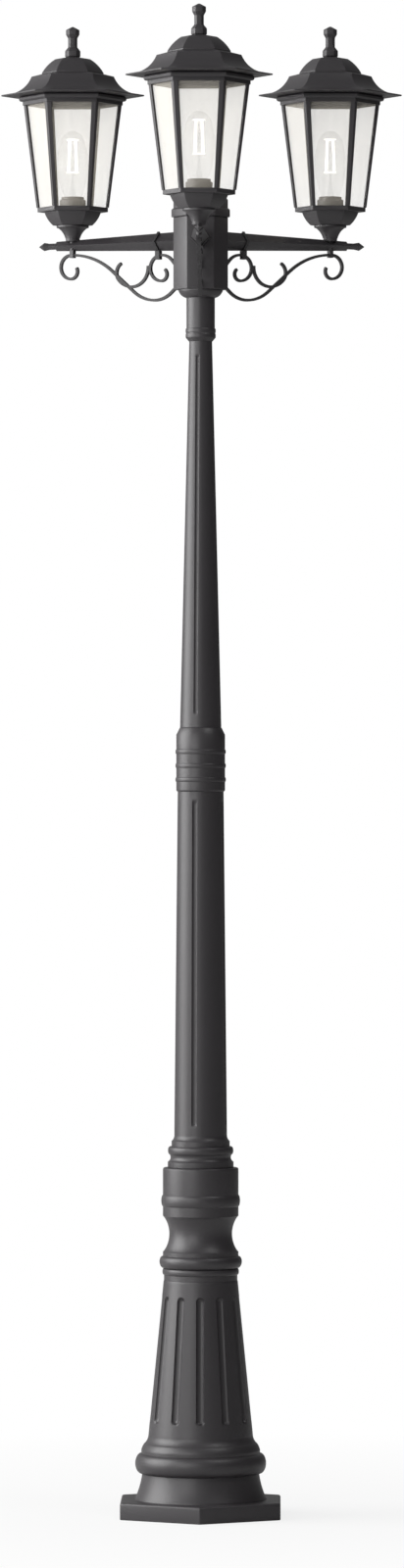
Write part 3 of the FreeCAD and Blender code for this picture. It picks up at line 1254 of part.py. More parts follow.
def build_bulb():
    """Clear bulb: glass, screw cap with its contact, and filament rods on a stem."""
    top = "cap_level + cap_length"
    cap = new_body("bulb_cap_pattern")
    prism(cap, "shell", 12, "cap_radius", "cap_level", top)
    prism(cap, "contact", 12, "contact_radius", "cap_level - contact_height", "cap_level")
    solid = new_body("bulb_glass_solid")
    carve(solid, "side", 12, "glass_radius / cos(15)", top, top + " + glass_height", glass_side("0"))
    room = new_body("bulb_glass_room")
    below = [("glass_neck_radius - glass_wall", top + " - cut_margin")]
    carve(room, "side", 12, "glass_radius / cos(15)", top + " - cut_margin",
          top + " + glass_height - glass_wall", below + glass_side("glass_wall"))
    glass = cut_out("bulb_glass", solid, room)
    rods = [("filament_stem", "filament_stem_radius", top, "filament_rise + filament_length", None)]
    for name, rise in (("lower", "filament_rise"), ("upper", "filament_rise + filament_length")):
        rods.append((name + "_spreader", "filament_spread + filament_radius", top + " + " + rise,
                     "spreader_height", None))
    for index in range(4):
        rods.append(("filament_rod_%d" % (index + 1), "filament_radius", top + " + filament_rise",
                     "filament_length", 45 + 90 * index))
    pieces = []
    for name, radius, foot, length, turned in rods:
        rod = doc.addObject("Part::Prism", name)
        rod.Polygon = 6
        bind(rod, "Circumradius", radius)
        bind(rod, "Height", length)
        bind(rod, "Placement.Base.z", foot)
        if turned:
            bind(rod, "Placement.Base.x", "filament_spread * cos(%d)" % turned)
            bind(rod, "Placement.Base.y", "filament_spread * sin(%d)" % turned)
        pieces.append(rod)
    filament = doc.addObject("Part::MultiFuse", "bulb_filament_pattern")
    filament.Shapes = pieces
    filament.Refine = True
    return glass, cap, filament


def build_roof():
    """Hexagonal roof: swept sides down to thin eaves, ledge and dome, hollow, with a lip below."""
    body = new_body("roof_solid")
    eave = "eave_level + eave_edge"
    sweep = eave + " + sweep_height"
    ledge = sweep + " + dome_ledge"
    band = ledge + " + dome_band"
    dome = band + " + dome_height"
    top = "eave_level + roof_height"
    carve(body, "side", 6, "eave_corners / 2", "eave_level", top, [
        (flat("eave_corners / 2"), "eave_level"),
        (flat("eave_corners / 2"), eave),
        ("sweep_flats / 2", sweep, "-sweep_hollow"),
        ("dome_flats / 2", ledge),
        ("dome_flats / 2", band),
        ("dome_top_flats / 2", dome, "dome_swell"),
        ("cap_flats / 2", top)])
    prism(body, "lip", 6, "lip_radius", "eave_level - lip_depth", eave)
    hole = new_sketch(body, "XY_Plane", "pin_hole_outline", top + " + cut_margin")
    circle(hole, "finial_pin_radius + clamp_clearance")
    extrude(body, "pin_hole", hole, "cut_margin + cap_height + 2 * roof_wall", cut=True)
    room = new_body("roof_room")
    inner = flat("lip_radius") + " - lip_thickness"
    low = "eave_level - lip_depth - cut_margin"
    carve(room, "side", 6, "lip_radius", low, dome + " - roof_wall", [
        (inner, low),
        (inner, "eave_level"),
        ("sweep_flats / 2 - roof_wall", sweep + " - roof_wall / 2"),
        ("dome_flats / 2 - roof_wall", sweep + " - roof_wall / 2"),
        ("dome_top_flats / 2 - roof_wall", dome + " - roof_wall")])
    return cut_out("roof", body, room)


def build_finial():
    """Faceted finial: knob, waist, crown and point, on a pin in the roof."""
    body = new_body("roof_finial_pattern")
    foot = "eave_level + roof_height"
    knob = foot + " + knob_height"
    waist = knob + " + waist_slope"
    slope = waist + " + waist_height"
    crown = slope + " + waist_slope"
    point = crown + " + crown_height"
    carve(body, "facets", 6, "knob_radius", foot, point + " + point_height", [
        (flat("knob_radius - knob_edge"), foot),
        (flat("knob_radius"), foot + " + knob_edge"),
        (flat("knob_radius"), knob),
        (flat("waist_radius"), waist),
        (flat("waist_radius"), slope),
        (flat("crown_radius"), crown),
        (flat("crown_radius"), point),
        (flat("point_radius"), point + " + point_height")])
    prism(body, "pin", 6, "finial_pin_radius", foot + " - finial_pin_length", foot)
    return body


# ---------------------------------------------------------------- the post put together

build_pedestal()
build_lower_pole()
build_upper_pole()
build_hub()
build_lid()
arm_pieces = {"arm": build_arm(), "arm_tip": build_tip(), "scroll": build_scroll(),
              "scroll_clamp": build_clamp(), "lantern_bolt": build_bolt()}
glass, cap, filament = build_bulb()
lantern_pieces = {"lantern_bowl": build_bowl(), "lantern_cage": build_cage(),
                  "glass_panes": build_panes(), "lampholder": build_holder(),
                  "bulb_glass": glass, "bulb_cap": cap, "bulb_filament": filament,
                  "roof": build_roof(), "roof_finial": build_finial()}

column = ["base_pedestal", "lower_pole", "upper_pole", "hub_housing", "hub_lid"]
sub_parts = [doc.getObject(name) for name in column]
for side, angle in ARMS.items():
    for name, pattern in arm_pieces.items():
        piece = doc.addObject("App::Link", "%s_%s" % (name, side))
        piece.LinkedObject = pattern
        piece.Placement = Placement(Vector(), Rotation(Vector(0, 0, 1), angle))
        bind(piece, "Placement.Base.z", "arm_level")
        sub_parts.append(piece)
    for name, pattern in lantern_pieces.items():
        piece = doc.addObject("App::Link", "%s_%s" % (name, side))
        piece.LinkedObject = pattern
        bind(piece, "Placement.Base.x", "arm_reach * cos(%d)" % angle)
        bind(piece, "Placement.Base.y", "arm_reach * sin(%d)" % angle)
        bind(piece, "Placement.Base.z", "lantern_level")
        sub_parts.append(piece)

doc.recompute()
for thing in doc.Objects:
    if "Invalid" in thing.State or "Error" in thing.State:
        raise RuntimeError("%s did not recompute: %s" % (thing.Name, thing.State))
for piece in sub_parts:
    shape = Part.getShape(piece)
    if shape.isNull() or not shape.isValid() or not shape.Solids:
        raise RuntimeError("%s is not a valid solid" % piece.Label)

os.makedirs("parts", exist_ok=True)
for piece in sub_parts:
    Part.getShape(piece).exportStep("parts/%s.step" % piece.Label)
    print("%-24s %8.1f cm3" % (piece.Label, Part.getShape(piece).Volume / 1000))
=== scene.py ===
import math

import bmesh
import bpy
import numpy as np
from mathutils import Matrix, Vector


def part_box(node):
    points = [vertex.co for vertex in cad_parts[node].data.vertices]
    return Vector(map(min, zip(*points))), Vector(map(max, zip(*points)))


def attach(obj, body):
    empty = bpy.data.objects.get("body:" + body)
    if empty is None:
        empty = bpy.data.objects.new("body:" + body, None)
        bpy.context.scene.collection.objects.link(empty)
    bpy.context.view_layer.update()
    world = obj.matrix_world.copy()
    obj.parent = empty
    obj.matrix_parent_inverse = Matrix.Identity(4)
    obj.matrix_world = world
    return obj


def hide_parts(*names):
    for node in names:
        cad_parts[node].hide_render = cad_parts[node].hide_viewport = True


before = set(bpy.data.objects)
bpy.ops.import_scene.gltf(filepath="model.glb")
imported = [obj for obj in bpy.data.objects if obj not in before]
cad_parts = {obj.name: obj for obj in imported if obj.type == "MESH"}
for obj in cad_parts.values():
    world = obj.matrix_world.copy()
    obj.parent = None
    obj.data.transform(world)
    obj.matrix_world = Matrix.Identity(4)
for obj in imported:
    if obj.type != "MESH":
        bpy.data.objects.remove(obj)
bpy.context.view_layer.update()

# ---------------------------------------------------------------- the studio
# The post stands in a pale, softly lit studio: a large soft box on the left, weaker ones in front
# and on the right, and white paper behind and below. The lens is long, at half the post's height.

image_width, image_height = 412, 1600
camera_distance = 11
camera_height = 1.0775
camera_turn = math.radians(0.6)
focal_pixels = 7623
post_pixel = 204.65
sensor_height = 24

scene = bpy.context.scene
scene.view_settings.view_transform = "Standard"
camera = bpy.data.objects.new("camera", bpy.data.cameras.new("camera"))
camera.data.sensor_fit = "VERTICAL"
camera.data.sensor_height = sensor_height
camera.data.lens = sensor_height * focal_pixels / image_height
camera.data.clip_end = 50
aside = (image_width / 2 - post_pixel) * camera_distance / focal_pixels
camera.location = (aside * math.cos(camera_turn) + camera_distance * math.sin(camera_turn),
                   aside * math.sin(camera_turn) - camera_distance * math.cos(camera_turn),
                   camera_height)
camera.rotation_euler = (math.radians(90), 0, camera_turn)
scene.collection.objects.link(camera)
scene.camera = camera


class Reading:
    """A socket of a shader, with the arithmetic that the finishes use."""

    def __init__(self, finish, socket):
        self.finish = finish
        self.socket = socket

    def __add__(self, other):
        return self.finish.number("ADD", self, other)

    def __sub__(self, other):
        return self.finish.number("SUBTRACT", self, other)

    def __rsub__(self, other):
        return self.finish.number("SUBTRACT", other, self)

    def __mul__(self, other):
        return self.finish.number("MULTIPLY", self, other)

    __radd__ = __add__
    __rmul__ = __mul__


class Finish:
    """Node tree of one finish. Every node of it comes from the one method."""

    def __init__(self, tree):
        self.tree = tree
        tree.nodes.clear()

    def node(self, kind, settings=(), output=0, **inputs):
        """Add a node: its settings first, then the values or links of its sockets."""
        node = self.tree.nodes.new(kind)
        for name, value in dict(settings).items():
            setattr(node, name, value)
        for name, value in inputs.items():
            name = name.replace("_", " ")
            socket = node.inputs[int(name[1:])] if name[1:].isdigit() else node.inputs[name]
            if isinstance(value, Reading):
                self.tree.links.new(value.socket, socket)
            else:
                socket.default_value = value
        return Reading(self, node.outputs[output] if node.outputs else None)

    def number(self, operation, first, second):
        return self.node("ShaderNodeMath", {"operation": operation}, i0=first, i1=second)

    def blend(self, factor, first, second):
        """Colour between two others."""
        return self.node("ShaderNodeMix", {"data_type": "RGBA"}, 2, i0=factor, i6=first, i7=second)


world = bpy.data.worlds.new("studio")
scene.world = world
world.use_nodes = True
studio = Finish(world.node_tree)
# The light falls off to the right. What the camera sees of it, also through glass, is plain white.
way = studio.node("ShaderNodeTexCoord")
across = studio.node("ShaderNodeSeparateXYZ", Vector=way)
side_light = studio.node("ShaderNodeMapRange", Value=across, From_Min=-0.8, From_Max=0.8,
                         To_Min=0.60, To_Max=0.06)
camera_ray = studio.node("ShaderNodeLightPath")
through_glass = Reading(studio, camera_ray.socket.node.outputs["Is Transmission Ray"])
seen = studio.node("ShaderNodeMath", {"operation": "ADD", "use_clamp": True}, i0=camera_ray, i1=through_glass)
strength = side_light + seen * (1 - side_light)
background = studio.node("ShaderNodeBackground", Color=(1, 1, 1, 1), Strength=strength)
studio.node("ShaderNodeOutputWorld", Surface=background)

lamp_aim = Vector((0, 0, 1.1))
for name, place, size, power in (("left_soft_box", (-4.2, -0.3, 2.3), 4.4, 350),
                                 ("front_soft_box", (-2.4, -4.2, 1.8), 3.0, 80),
                                 ("right_soft_box", (2.4, -2.2, 4.8), 2.0, 55)):
    lamp = bpy.data.objects.new(name, bpy.data.lights.new(name, "AREA"))
    lamp.data.shape = "DISK"
    lamp.data.size = size
    lamp.data.energy = power
    lamp.location = place
    lamp.rotation_euler = (lamp_aim - lamp.location).to_track_quat("-Z", "Y").to_euler()
    scene.collection.objects.link(lamp)

floor_reach = 30
floor_mesh = bpy.data.meshes.new("floor")
floor_mesh.from_pydata([(-floor_reach, -floor_reach, 0), (floor_reach, -floor_reach, 0),
                        (floor_reach, floor_reach, 0), (-floor_reach, floor_reach, 0)], [], [(0, 1, 2, 3)])
floor = bpy.data.objects.new("floor", floor_mesh)
scene.collection.objects.link(floor)
paper = bpy.data.materials.new("studio_paper")
paper.use_nodes = True
sheet = Finish(paper.node_tree)
# The camera sees plain white, with a fifth of the lit paper and its shadow showing near the foot.
grain = sheet.node("ShaderNodeTexNoise", Vector=sheet.node("ShaderNodeTexCoord", output=3), Scale=40.0)
matt = sheet.node("ShaderNodeBsdfPrincipled", Roughness=0.9,
                  Base_Color=sheet.blend(grain, (0.60, 0.60, 0.59, 1), (0.62, 0.62, 0.62, 1)))
white = sheet.node("ShaderNodeEmission", Color=(1, 1, 1, 1), Strength=1.0)
nearness = sheet.node("ShaderNodeTexGradient", {"gradient_type": "SPHERICAL"}, output=1,
                      Vector=sheet.node("ShaderNodeMapping", Scale=(0.7, 0.7, 0.7),
                                        Vector=sheet.node("ShaderNodeTexCoord", output=3)))
camera_ray = sheet.node("ShaderNodeLightPath")
sheet.node("ShaderNodeOutputMaterial",
           Surface=sheet.node("ShaderNodeMixShader", i0=camera_ray * (1 - nearness * 0.2), i1=matt, i2=white))
floor_mesh.materials.append(paper)

# ---------------------------------------------------------------- pedestal
# Sand-cast aluminium in one piece: a hexagonal foot that is bolted down, a bell, a heavy torus, a
# cone with twelve round-ended flutes, and a vase with a narrow neck under the ringed cup that the
# pole stands in. Powder coated in a fine-grained satin anthracite.


def powder_coat(name, dark, light, roughness):
    """Powder coat: grains of about a millimetre, and slow drifts of tone and gloss."""
    material = bpy.data.materials.new(name)
    material.use_nodes = True
    coat = Finish(material.node_tree)
    place = coat.node("ShaderNodeTexCoord", output=3)
    drift = coat.node("ShaderNodeTexNoise", Vector=place, Scale=5.0, Detail=3.0)
    grains = coat.node("ShaderNodeTexNoise", Vector=place, Scale=900.0, Detail=2.0)
    tone = coat.blend(drift * 0.7 + grains * 0.3, (*dark, 1), (*light, 1))
    bumps = coat.node("ShaderNodeBump", Strength=0.25, Distance=0.0003, Height=grains)
    shader = coat.node("ShaderNodeBsdfPrincipled", Base_Color=tone, Normal=bumps,
                       Roughness=drift * 0.1 + roughness)
    coat.node("ShaderNodeOutputMaterial", Surface=shader)
    return material


anthracite = powder_coat("anthracite_coat", (0.021, 0.019, 0.021), (0.030, 0.027, 0.030), 0.38)


def swell(start, end, rise, power=1.0, count=13):
    """Side from start to end that swells out by rise: rise * (4 t (1 - t)) ** power."""
    t = np.linspace(0, 1, count)[:, None]
    start, end = np.array(start, float), np.array(end, float)
    chord = end - start
    out = np.array([chord[1], -chord[0]]) / np.hypot(*chord)
    return start + chord * t + out * rise * (4 * t * (1 - t)) ** power


def stretch(start, end, step):
    """Straight side from start to end in steps of about the given length."""
    start, end = np.array(start, float), np.array(end, float)
    count = max(2, int(np.hypot(*(end - start)) / step) + 1)
    return start + (end - start) * np.linspace(0, 1, count)[:, None]


def eased(corners, radius, count=4):
    """Corner points with each inner corner rounded: the parabola between its two sides."""
    corners = np.array(corners, float)
    before, here, after = corners[:-2], corners[1:-1], corners[2:]
    back, ahead = before - here, after - here
    cut = np.minimum(radius, 0.45 * np.minimum(np.hypot(*back.T), np.hypot(*ahead.T)))[:, None]
    first = here + back / np.hypot(*back.T)[:, None] * cut
    last = here + ahead / np.hypot(*ahead.T)[:, None] * cut
    t = np.linspace(0, 1, count)[None, :, None]
    rounded = first[:, None] * (1 - t) ** 2 + 2 * here[:, None] * t * (1 - t) + last[:, None] * t ** 2
    return np.vstack([corners[:1], rounded.reshape(-1, 2), corners[-1:]])


def raised(profile, height):
    """The same profile, higher up."""
    return profile + np.array([0, height])


def turned(profile, columns=96):
    """Profile of (radius, height) spun round the axis: (r cos a, r sin a, z)."""
    turn = np.linspace(0, 2 * math.pi, columns, endpoint=False)[None, :]
    radius, height = profile[:, :1], profile[:, 1:]
    return np.stack([radius * np.cos(turn), radius * np.sin(turn), height + 0 * turn], axis=-1)


def fluted(profile, count, first, width, depth, low, high, plain):
    """Turned profile with round-ended flutes from low to high.

    Columns follow each flute's edges, which stay width apart while the radius changes, and plain
    more columns lie between two flutes. At a distance d from the middle line of a flute, which
    ends half its width short of low and high, it is depth * sqrt(1 - (d / half)^2) deep.
    """
    radius, height = profile[:, :1], profile[:, 1:]
    half = width / 2
    within = half * np.sin(np.linspace(-math.pi / 2, math.pi / 2, 11))[None, :]
    beyond = np.linspace(0, 1, plain + 2)[1:-1][None, :]
    sector = 2 * math.pi / count
    offsets = np.hstack([within / radius, half / radius + beyond * (sector - 2 * half / radius)])
    turn = (first + sector * np.arange(count))[None, :, None] + offsets[:, None, :]
    past = np.maximum(0, np.maximum(low + half - height, height - high + half))
    groove = depth * np.sqrt(np.clip(1 - (np.hypot(within, past) / half) ** 2, 0, 1))
    groove = np.hstack([groove, np.zeros((len(profile), plain))])[:, None, :]
    rim = radius[:, :, None] - groove
    grid = np.stack([rim * np.cos(turn), rim * np.sin(turn), height[:, :, None] + 0 * turn], axis=-1)
    return grid.reshape(len(profile), -1, 3)


def six_sided(profile, edge, first=0.0):
    """Profile of (distance to the flats, height) carried round a hexagon with rounded corners.

    Each corner is an arc of radius edge about a point (distance - edge) / cos(pi / 6) out.
    """
    sides = 6
    reach, height = profile[:, :1, None], profile[:, 1:, None]
    bend = np.minimum(edge, 0.5 * reach)
    corner = (first + 2 * math.pi / sides * np.arange(sides))[None, :, None]
    fan = np.linspace(-math.pi / sides, math.pi / sides, 5)[None, None, :]
    middle = (reach - bend) / math.cos(math.pi / sides)
    across = middle * np.cos(corner) + bend * np.cos(corner + fan)
    along = middle * np.sin(corner) + bend * np.sin(corner + fan)
    grid = np.stack([across, along, height + 0 * across], axis=-1)
    return grid.reshape(len(profile), -1, 3)


def skin(grid, start, loop=False):
    """Quads between neighbouring points of a grid whose columns close, and its rows if it loops."""
    rows, columns = grid.shape[:2]
    number = start + np.arange(rows * columns).reshape(rows, columns)
    upper = np.roll(number, -1, axis=0)
    quads = np.stack([number, np.roll(number, -1, axis=1), np.roll(upper, -1, axis=1), upper], axis=-1)
    return (quads if loop else quads[:-1]).reshape(-1, 4).tolist()


def piece(name, grids, material, body, nodes=(), at=(0, 0, 0), loops=False):
    """One object of several grids in millimetres, set down at a place in metres.

    Flat discs close the two ends of each grid, unless its last row loops back to its first.
    """
    millimetre = 0.001
    points, faces, start = [], [], 0
    for grid in grids:
        rows, columns = grid.shape[:2]
        points.append(grid.reshape(-1, 3))
        faces += skin(grid, start, loops)
        if not loops:
            faces.append(list(range(start + columns - 1, start - 1, -1)))
            faces.append(list(range(start + (rows - 1) * columns, start + rows * columns)))
        start += rows * columns
    mesh = bpy.data.meshes.new(name)
    mesh.from_pydata((np.vstack(points) * millimetre + np.array(at)).tolist(), [], faces)
    mesh.polygons.foreach_set("use_smooth", np.ones(len(mesh.polygons), bool))
    mesh.set_sharp_from_angle(angle=math.radians(38))
    mesh.materials.append(material)
    made = bpy.data.objects.new(name, mesh)
    scene.collection.objects.link(made)
    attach(made, body)
    if nodes:
        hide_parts(*nodes)
    return made


foot_flat, foot_inner, foot_top, foot_chamfer, foot_edge = 117.5, 80, 25, 2, 3
bell_foot, bell_head = 97, 86
torus_radius, torus_low, torus_high, torus_swell = 87.4, 63, 92.6, 8.9
bead_top, ogee_top = (82, 107.7), (76.9, 119.2)
cone_foot, cone_top = (76.9, 119.4), (54.5, 347)
bore_low, bore_high = (77, 63), (46, 320)
shaft = np.vstack([
    [(bell_foot - 2, 1), (bell_foot, foot_top - 1)],
    swell((bell_foot, foot_top), (bell_head, torus_low), -1.5),
    swell((torus_radius, torus_low), (torus_radius, torus_high), torus_swell, 0.5, 25),
    [(torus_radius, 96)],
    swell((torus_radius, 96.2), bead_top, 1.1, 0.7),
    swell(bead_top, ogee_top, -1.1),
    stretch(cone_foot, cone_top, 1.5)[:-1],
    [(54.2, cone_top[1]), (bore_high[0], cone_top[1]), bore_high, (68, cone_foot[1]), bore_low,
     (bore_low[0], 0)]])
foot = eased([(foot_inner, 0), (foot_flat, 0), (foot_flat, foot_top - foot_chamfer),
              (foot_flat - foot_chamfer, foot_top), (foot_inner, foot_top)], 1.5)

vase_radius, cup_radius, cup_bore, cup_top = 54, 55.6, 38, 166
vase = np.vstack([
    [(45, 0), (vase_radius, 0.2), (vase_radius, 8)],
    swell((vase_radius, 8), (vase_radius, 18), 2.3, 0.5),
    swell((vase_radius, 18), (cup_radius, 36), 5.8, 0.5, 21),
    [(cup_radius, 42)],
    swell((cup_radius, 42), (cup_radius, 95), -9.4, 0.85, 33),
    [(cup_radius, 108.6)],
    swell((cup_radius, 108.6), (cup_radius, 126), 2.4, 0.6),
    eased([(cup_radius, 126), (cup_radius, cup_top), (cup_bore, cup_top)], 3, 6),
    [(cup_bore, 120), (41, 60)]])
piece("pedestal", [fluted(shaft, count=12, first=0, width=12.4, depth=4.5, low=139, high=324, plain=8),
                   six_sided(foot, foot_edge, math.pi / 2),
                   turned(raised(vase, cone_top[1]))],
      anthracite, "post", ["base_pedestal"], loops=True)

# ---------------------------------------------------------------- poles
# Two cast tubes that taper, each with four shallow flutes. The lower one grows out of a foot of
# rings and ends in a beaded sleeve. The upper one ends in two beads, a neck and a flare.

flute_turn = math.radians(76)
pole_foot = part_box("base_pedestal")[1].z
pole_start, pole_top = (38.8, 47), (33.8, 553)
band_radius, bead_radius = 48.4, 45.5
rings = np.vstack([
    [(36, 0)],
    eased([(band_radius - 0.4, 0), (band_radius, 0.5), (band_radius, 8.5)], 0.5),
    swell((band_radius - 0.4, 8.6), (bead_radius, 19), -2.2),
    swell((bead_radius, 19), (bead_radius, 31), 2.6, 0.5),
    eased([(42.8, 31), (42.8, 39)], 0.5),
    swell((42.6, 39.2), pole_start, -0.9),
    stretch(pole_start, pole_top, 2.5)])
sleeve_radius, sleeve_top = 35.9, 95
sleeve = np.vstack([
    eased([(33, 0), (33.9, 0), (sleeve_radius, 2), (sleeve_radius, 14.5)], 0.8),
    swell((sleeve_radius, 14.5), (sleeve_radius, 21.5), 1.3, 0.5),
    swell((sleeve_radius, 35), (sleeve_radius, 42), 1.2, 0.5),
    swell((sleeve_radius, 55.5), (sleeve_radius, 62.5), 1.2, 0.5),
    eased([(sleeve_radius, 84), (30.7, sleeve_top - 0.4), (29, sleeve_top)], 0.8)])
piece("lower_pole_cast", [fluted(rings, count=4, first=flute_turn, width=8.5, depth=2.6, low=62, high=540,
                                 plain=18),
                          turned(raised(sleeve, pole_top[1]))],
      anthracite, "post", ["lower_pole"], at=(0, 0, pole_foot))

mast_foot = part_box("lower_pole")[1].z
mast_start, mast_top = (30.4, 0), (16.8, 568)
neck_radius, flare_radius = 20.9, 32.4
neck = np.vstack([
    eased([(16.5, 0), (17.3, 0), (21.5, 5)], 1),
    swell((21.6, 5), (21.6, 11.6), 0.6, 0.5),
    swell((21.6, 12.4), (21.6, 19), 0.6, 0.5),
    [(neck_radius, 19.2)],
    eased([(neck_radius, 19.4), (neck_radius, 64)], 1),
    swell((neck_radius, 64), (flare_radius - 0.2, 73.5), 1.8),
    [(flare_radius, 74), (flare_radius, 76), (30, 76)]])
piece("upper_pole_cast", [fluted(stretch(mast_start, mast_top, 2.5), count=4, first=flute_turn,
                                 width=6.5, depth=2, low=20, high=548, plain=16),
                          turned(raised(neck, mast_top[1]))],
      anthracite, "post", ["upper_pole"], at=(0, 0, mast_foot))

# ---------------------------------------------------------------- hub
# A six-sided hub with a lid that overhangs it on a band and is screwed down. Both are castings with
# small rounded edges.

hub_low, hub_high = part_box("hub_housing")
hub_flat = (hub_high.y - hub_low.y) / 2 * 1000
hub_height = (hub_high.z - hub_low.z) * 1000
hub_edge, hub_ease, cos30 = 2.5, 1, math.cos(math.pi / 6)
hub = eased([(hub_flat - 3, 0), (hub_flat, 0), (hub_flat, hub_height), (hub_flat - 3, hub_height)],
            hub_ease)
piece("hub", [six_sided(hub, hub_edge)], anthracite, "post", ["hub_housing"], at=(0, 0, hub_low.z))

lid_across, band_top, lid_top, lid_chamfer = 87, 13, 28, 2
lid_flat = lid_across / 2 * cos30
lid = eased([(lid_flat - 5, 0), (lid_flat, 0), (lid_flat, band_top - lid_chamfer),
             (lid_flat - lid_chamfer, band_top), (hub_flat, band_top), (hub_flat, lid_top - lid_chamfer),
             (hub_flat - lid_chamfer, lid_top), (5, lid_top)], hub_ease)
piece("hub_lid", [six_sided(lid, hub_edge)], anthracite, "post", ["hub_lid"], at=(0, 0, hub_high.z))

# ---------------------------------------------------------------- arms and brackets
# Each arm is a tapered square casting on edge with a pointed end. Under it a bracket of flat bar is
# scrolled cold, welded where the bars touch, and held by a strap and by the lantern's bolt. The bars
# and the strap have a darker, matt coat.


def softened(node, material, body, edge):
    """The solid of a node with its coplanar triangles merged and its edges broken."""
    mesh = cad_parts[node].data.copy()
    mesh.name = node + "_cast"
    shape = bmesh.new()
    shape.from_mesh(mesh)
    bmesh.ops.remove_doubles(shape, verts=shape.verts, dist=1e-6)
    bmesh.ops.dissolve_limit(shape, angle_limit=math.radians(0.5), verts=shape.verts, edges=shape.edges)
    shape.to_mesh(mesh)
    shape.free()
    mesh.polygons.foreach_set("use_smooth", np.ones(len(mesh.polygons), bool))
    mesh.set_sharp_from_angle(angle=math.radians(28))
    mesh.materials.clear()
    mesh.materials.append(material)
    made = bpy.data.objects.new(node + "_cast", mesh)
    scene.collection.objects.link(made)
    broken = made.modifiers.new("broken_edges", "BEVEL")
    broken.width = edge
    broken.segments = 2
    broken.limit_method = "ANGLE"
    broken.angle_limit = math.radians(30)
    broken.harden_normals = True
    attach(made, body)
    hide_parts(node)


bar_coat = powder_coat("bar_coat", (0.017, 0.016, 0.017), (0.024, 0.022, 0.024), 0.6)
lantern_sides = ("front", "right", "left")
for side in lantern_sides:
    softened("arm_" + side, anthracite, "post", 0.0006)
    softened("arm_tip_" + side, anthracite, "post", 0.0005)
    softened("scroll_" + side, bar_coat, "post", 0.0005)
    softened("scroll_clamp_" + side, bar_coat, "post", 0.0003)
    softened("lantern_bolt_" + side, anthracite, "post", 0.0003)

# ---------------------------------------------------------------- lantern bowl and cage
# A round stem and plate under a six-sided bowl stand on the arm. On them sits the cage, one casting
# of six flaring posts between a sill and a frieze with a moulded rim.


def lantern_axis(side):
    """Place of a lantern's axis in metres, at the height at which it stands on its arm."""
    low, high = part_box("lantern_bowl_" + side)
    return ((low.x + high.x) / 2, (low.y + high.y) / 2, low.z)


plate_radius, plate_low, bowl_low, bowl_top, bowl_edge = 24, 20.4, 24, 43.8, 1.5
stem = np.vstack([
    eased([(8, 0), (10, 0), (10.6, 4.8)], 0.5),
    swell((11, 4.9), (18.4, 17.4), -1.0),
    swell((18.6, 17.5), (plate_radius - 0.4, plate_low), -0.5),
    eased([(plate_radius - 0.4, plate_low), (plate_radius, plate_low + 0.4),
           (plate_radius, bowl_low - 0.4), (plate_radius - 0.4, bowl_low + 0.2)], 0.4)])
bowl = np.vstack([
    [(22, bowl_low)],
    swell((25.5, bowl_low), (36.6, bowl_top), 1.5)])
for side in lantern_sides:
    piece("bowl_" + side, [turned(stem, 64), six_sided(bowl, bowl_edge)], anthracite, "post",
          ["lantern_bowl_" + side], at=lantern_axis(side))
    softened("lantern_cage_" + side, anthracite, "post", 0.0005)

# ---------------------------------------------------------------- panes
# Six flat panes of drawn glass, faintly streaked along their height. They stand on the lantern's
# floor behind the posts; dust and a painted reflection of the studio light thicken towards the top.


def drawn_glass(name, clear, dust_and_reflection, thin, thick, low, high):
    """Thin glass, narrowly streaked, whose cover and tone of dust and painted reflection rise from low to
    high.
    """
    material = bpy.data.materials.new(name)
    material.use_nodes = True
    glass = Finish(material.node_tree)
    place = glass.node("ShaderNodeTexCoord", output=3)
    height = glass.node("ShaderNodeSeparateXYZ", output=2, Vector=place)
    rise = glass.node("ShaderNodeMapRange", Value=height, From_Min=low, From_Max=high)
    drawn = glass.node("ShaderNodeMapping", Vector=place, Scale=(130.0, 130.0, 5.0))
    streaks = glass.node("ShaderNodeTexNoise", Vector=drawn, Scale=1.0, Detail=2.0)
    streak_cover = 0.06
    cover = rise * (thick - thin) + streaks * streak_cover + (thin - streak_cover / 2)
    # Its tone lightens upwards: dust, and a painted reflection of the studio light.
    shader = glass.node("ShaderNodeBsdfPrincipled", Roughness=0.08, Alpha=cover,
                        Base_Color=glass.blend(rise, (*clear, 1), (*dust_and_reflection, 1)))
    glass.node("ShaderNodeOutputMaterial", Surface=shader)
    return material


for side in lantern_sides:
    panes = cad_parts["glass_panes_" + side]
    low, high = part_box("glass_panes_" + side)
    panes.data.materials.clear()
    # The second colour, towards the top, is dust and painted reflection.
    panes.data.materials.append(drawn_glass("pane_glass_" + side, (0.78, 0.72, 0.60), (0.86, 0.81, 0.72),
                                            0.07, 0.15, low.z, high.z))

# ---------------------------------------------------------------- lampholders
# A moulded lampholder for a screw cap: a plain body through the floor, a wide skirt with a
# rolled edge, and a narrower mouth. Grey-brown insulating plastic with a matt skin.


def moulded_plastic(name, dark, light, roughness):
    """Matt moulding: cloudy tone, and a fine leather-like skin from cell texture."""
    material = bpy.data.materials.new(name)
    material.use_nodes = True
    plastic = Finish(material.node_tree)
    place = plastic.node("ShaderNodeTexCoord", output=3)
    cloud = plastic.node("ShaderNodeTexNoise", Vector=place, Scale=60.0, Detail=4.0)
    cells = plastic.node("ShaderNodeTexVoronoi", Vector=place, Scale=1500.0)
    bumps = plastic.node("ShaderNodeBump", Strength=0.2, Distance=0.0001, Height=cells)
    shader = plastic.node("ShaderNodeBsdfPrincipled", Normal=bumps, Roughness=cloud * 0.15 + roughness,
                          Base_Color=plastic.blend(cloud, (*dark, 1), (*light, 1)))
    plastic.node("ShaderNodeOutputMaterial", Surface=shader)
    return material


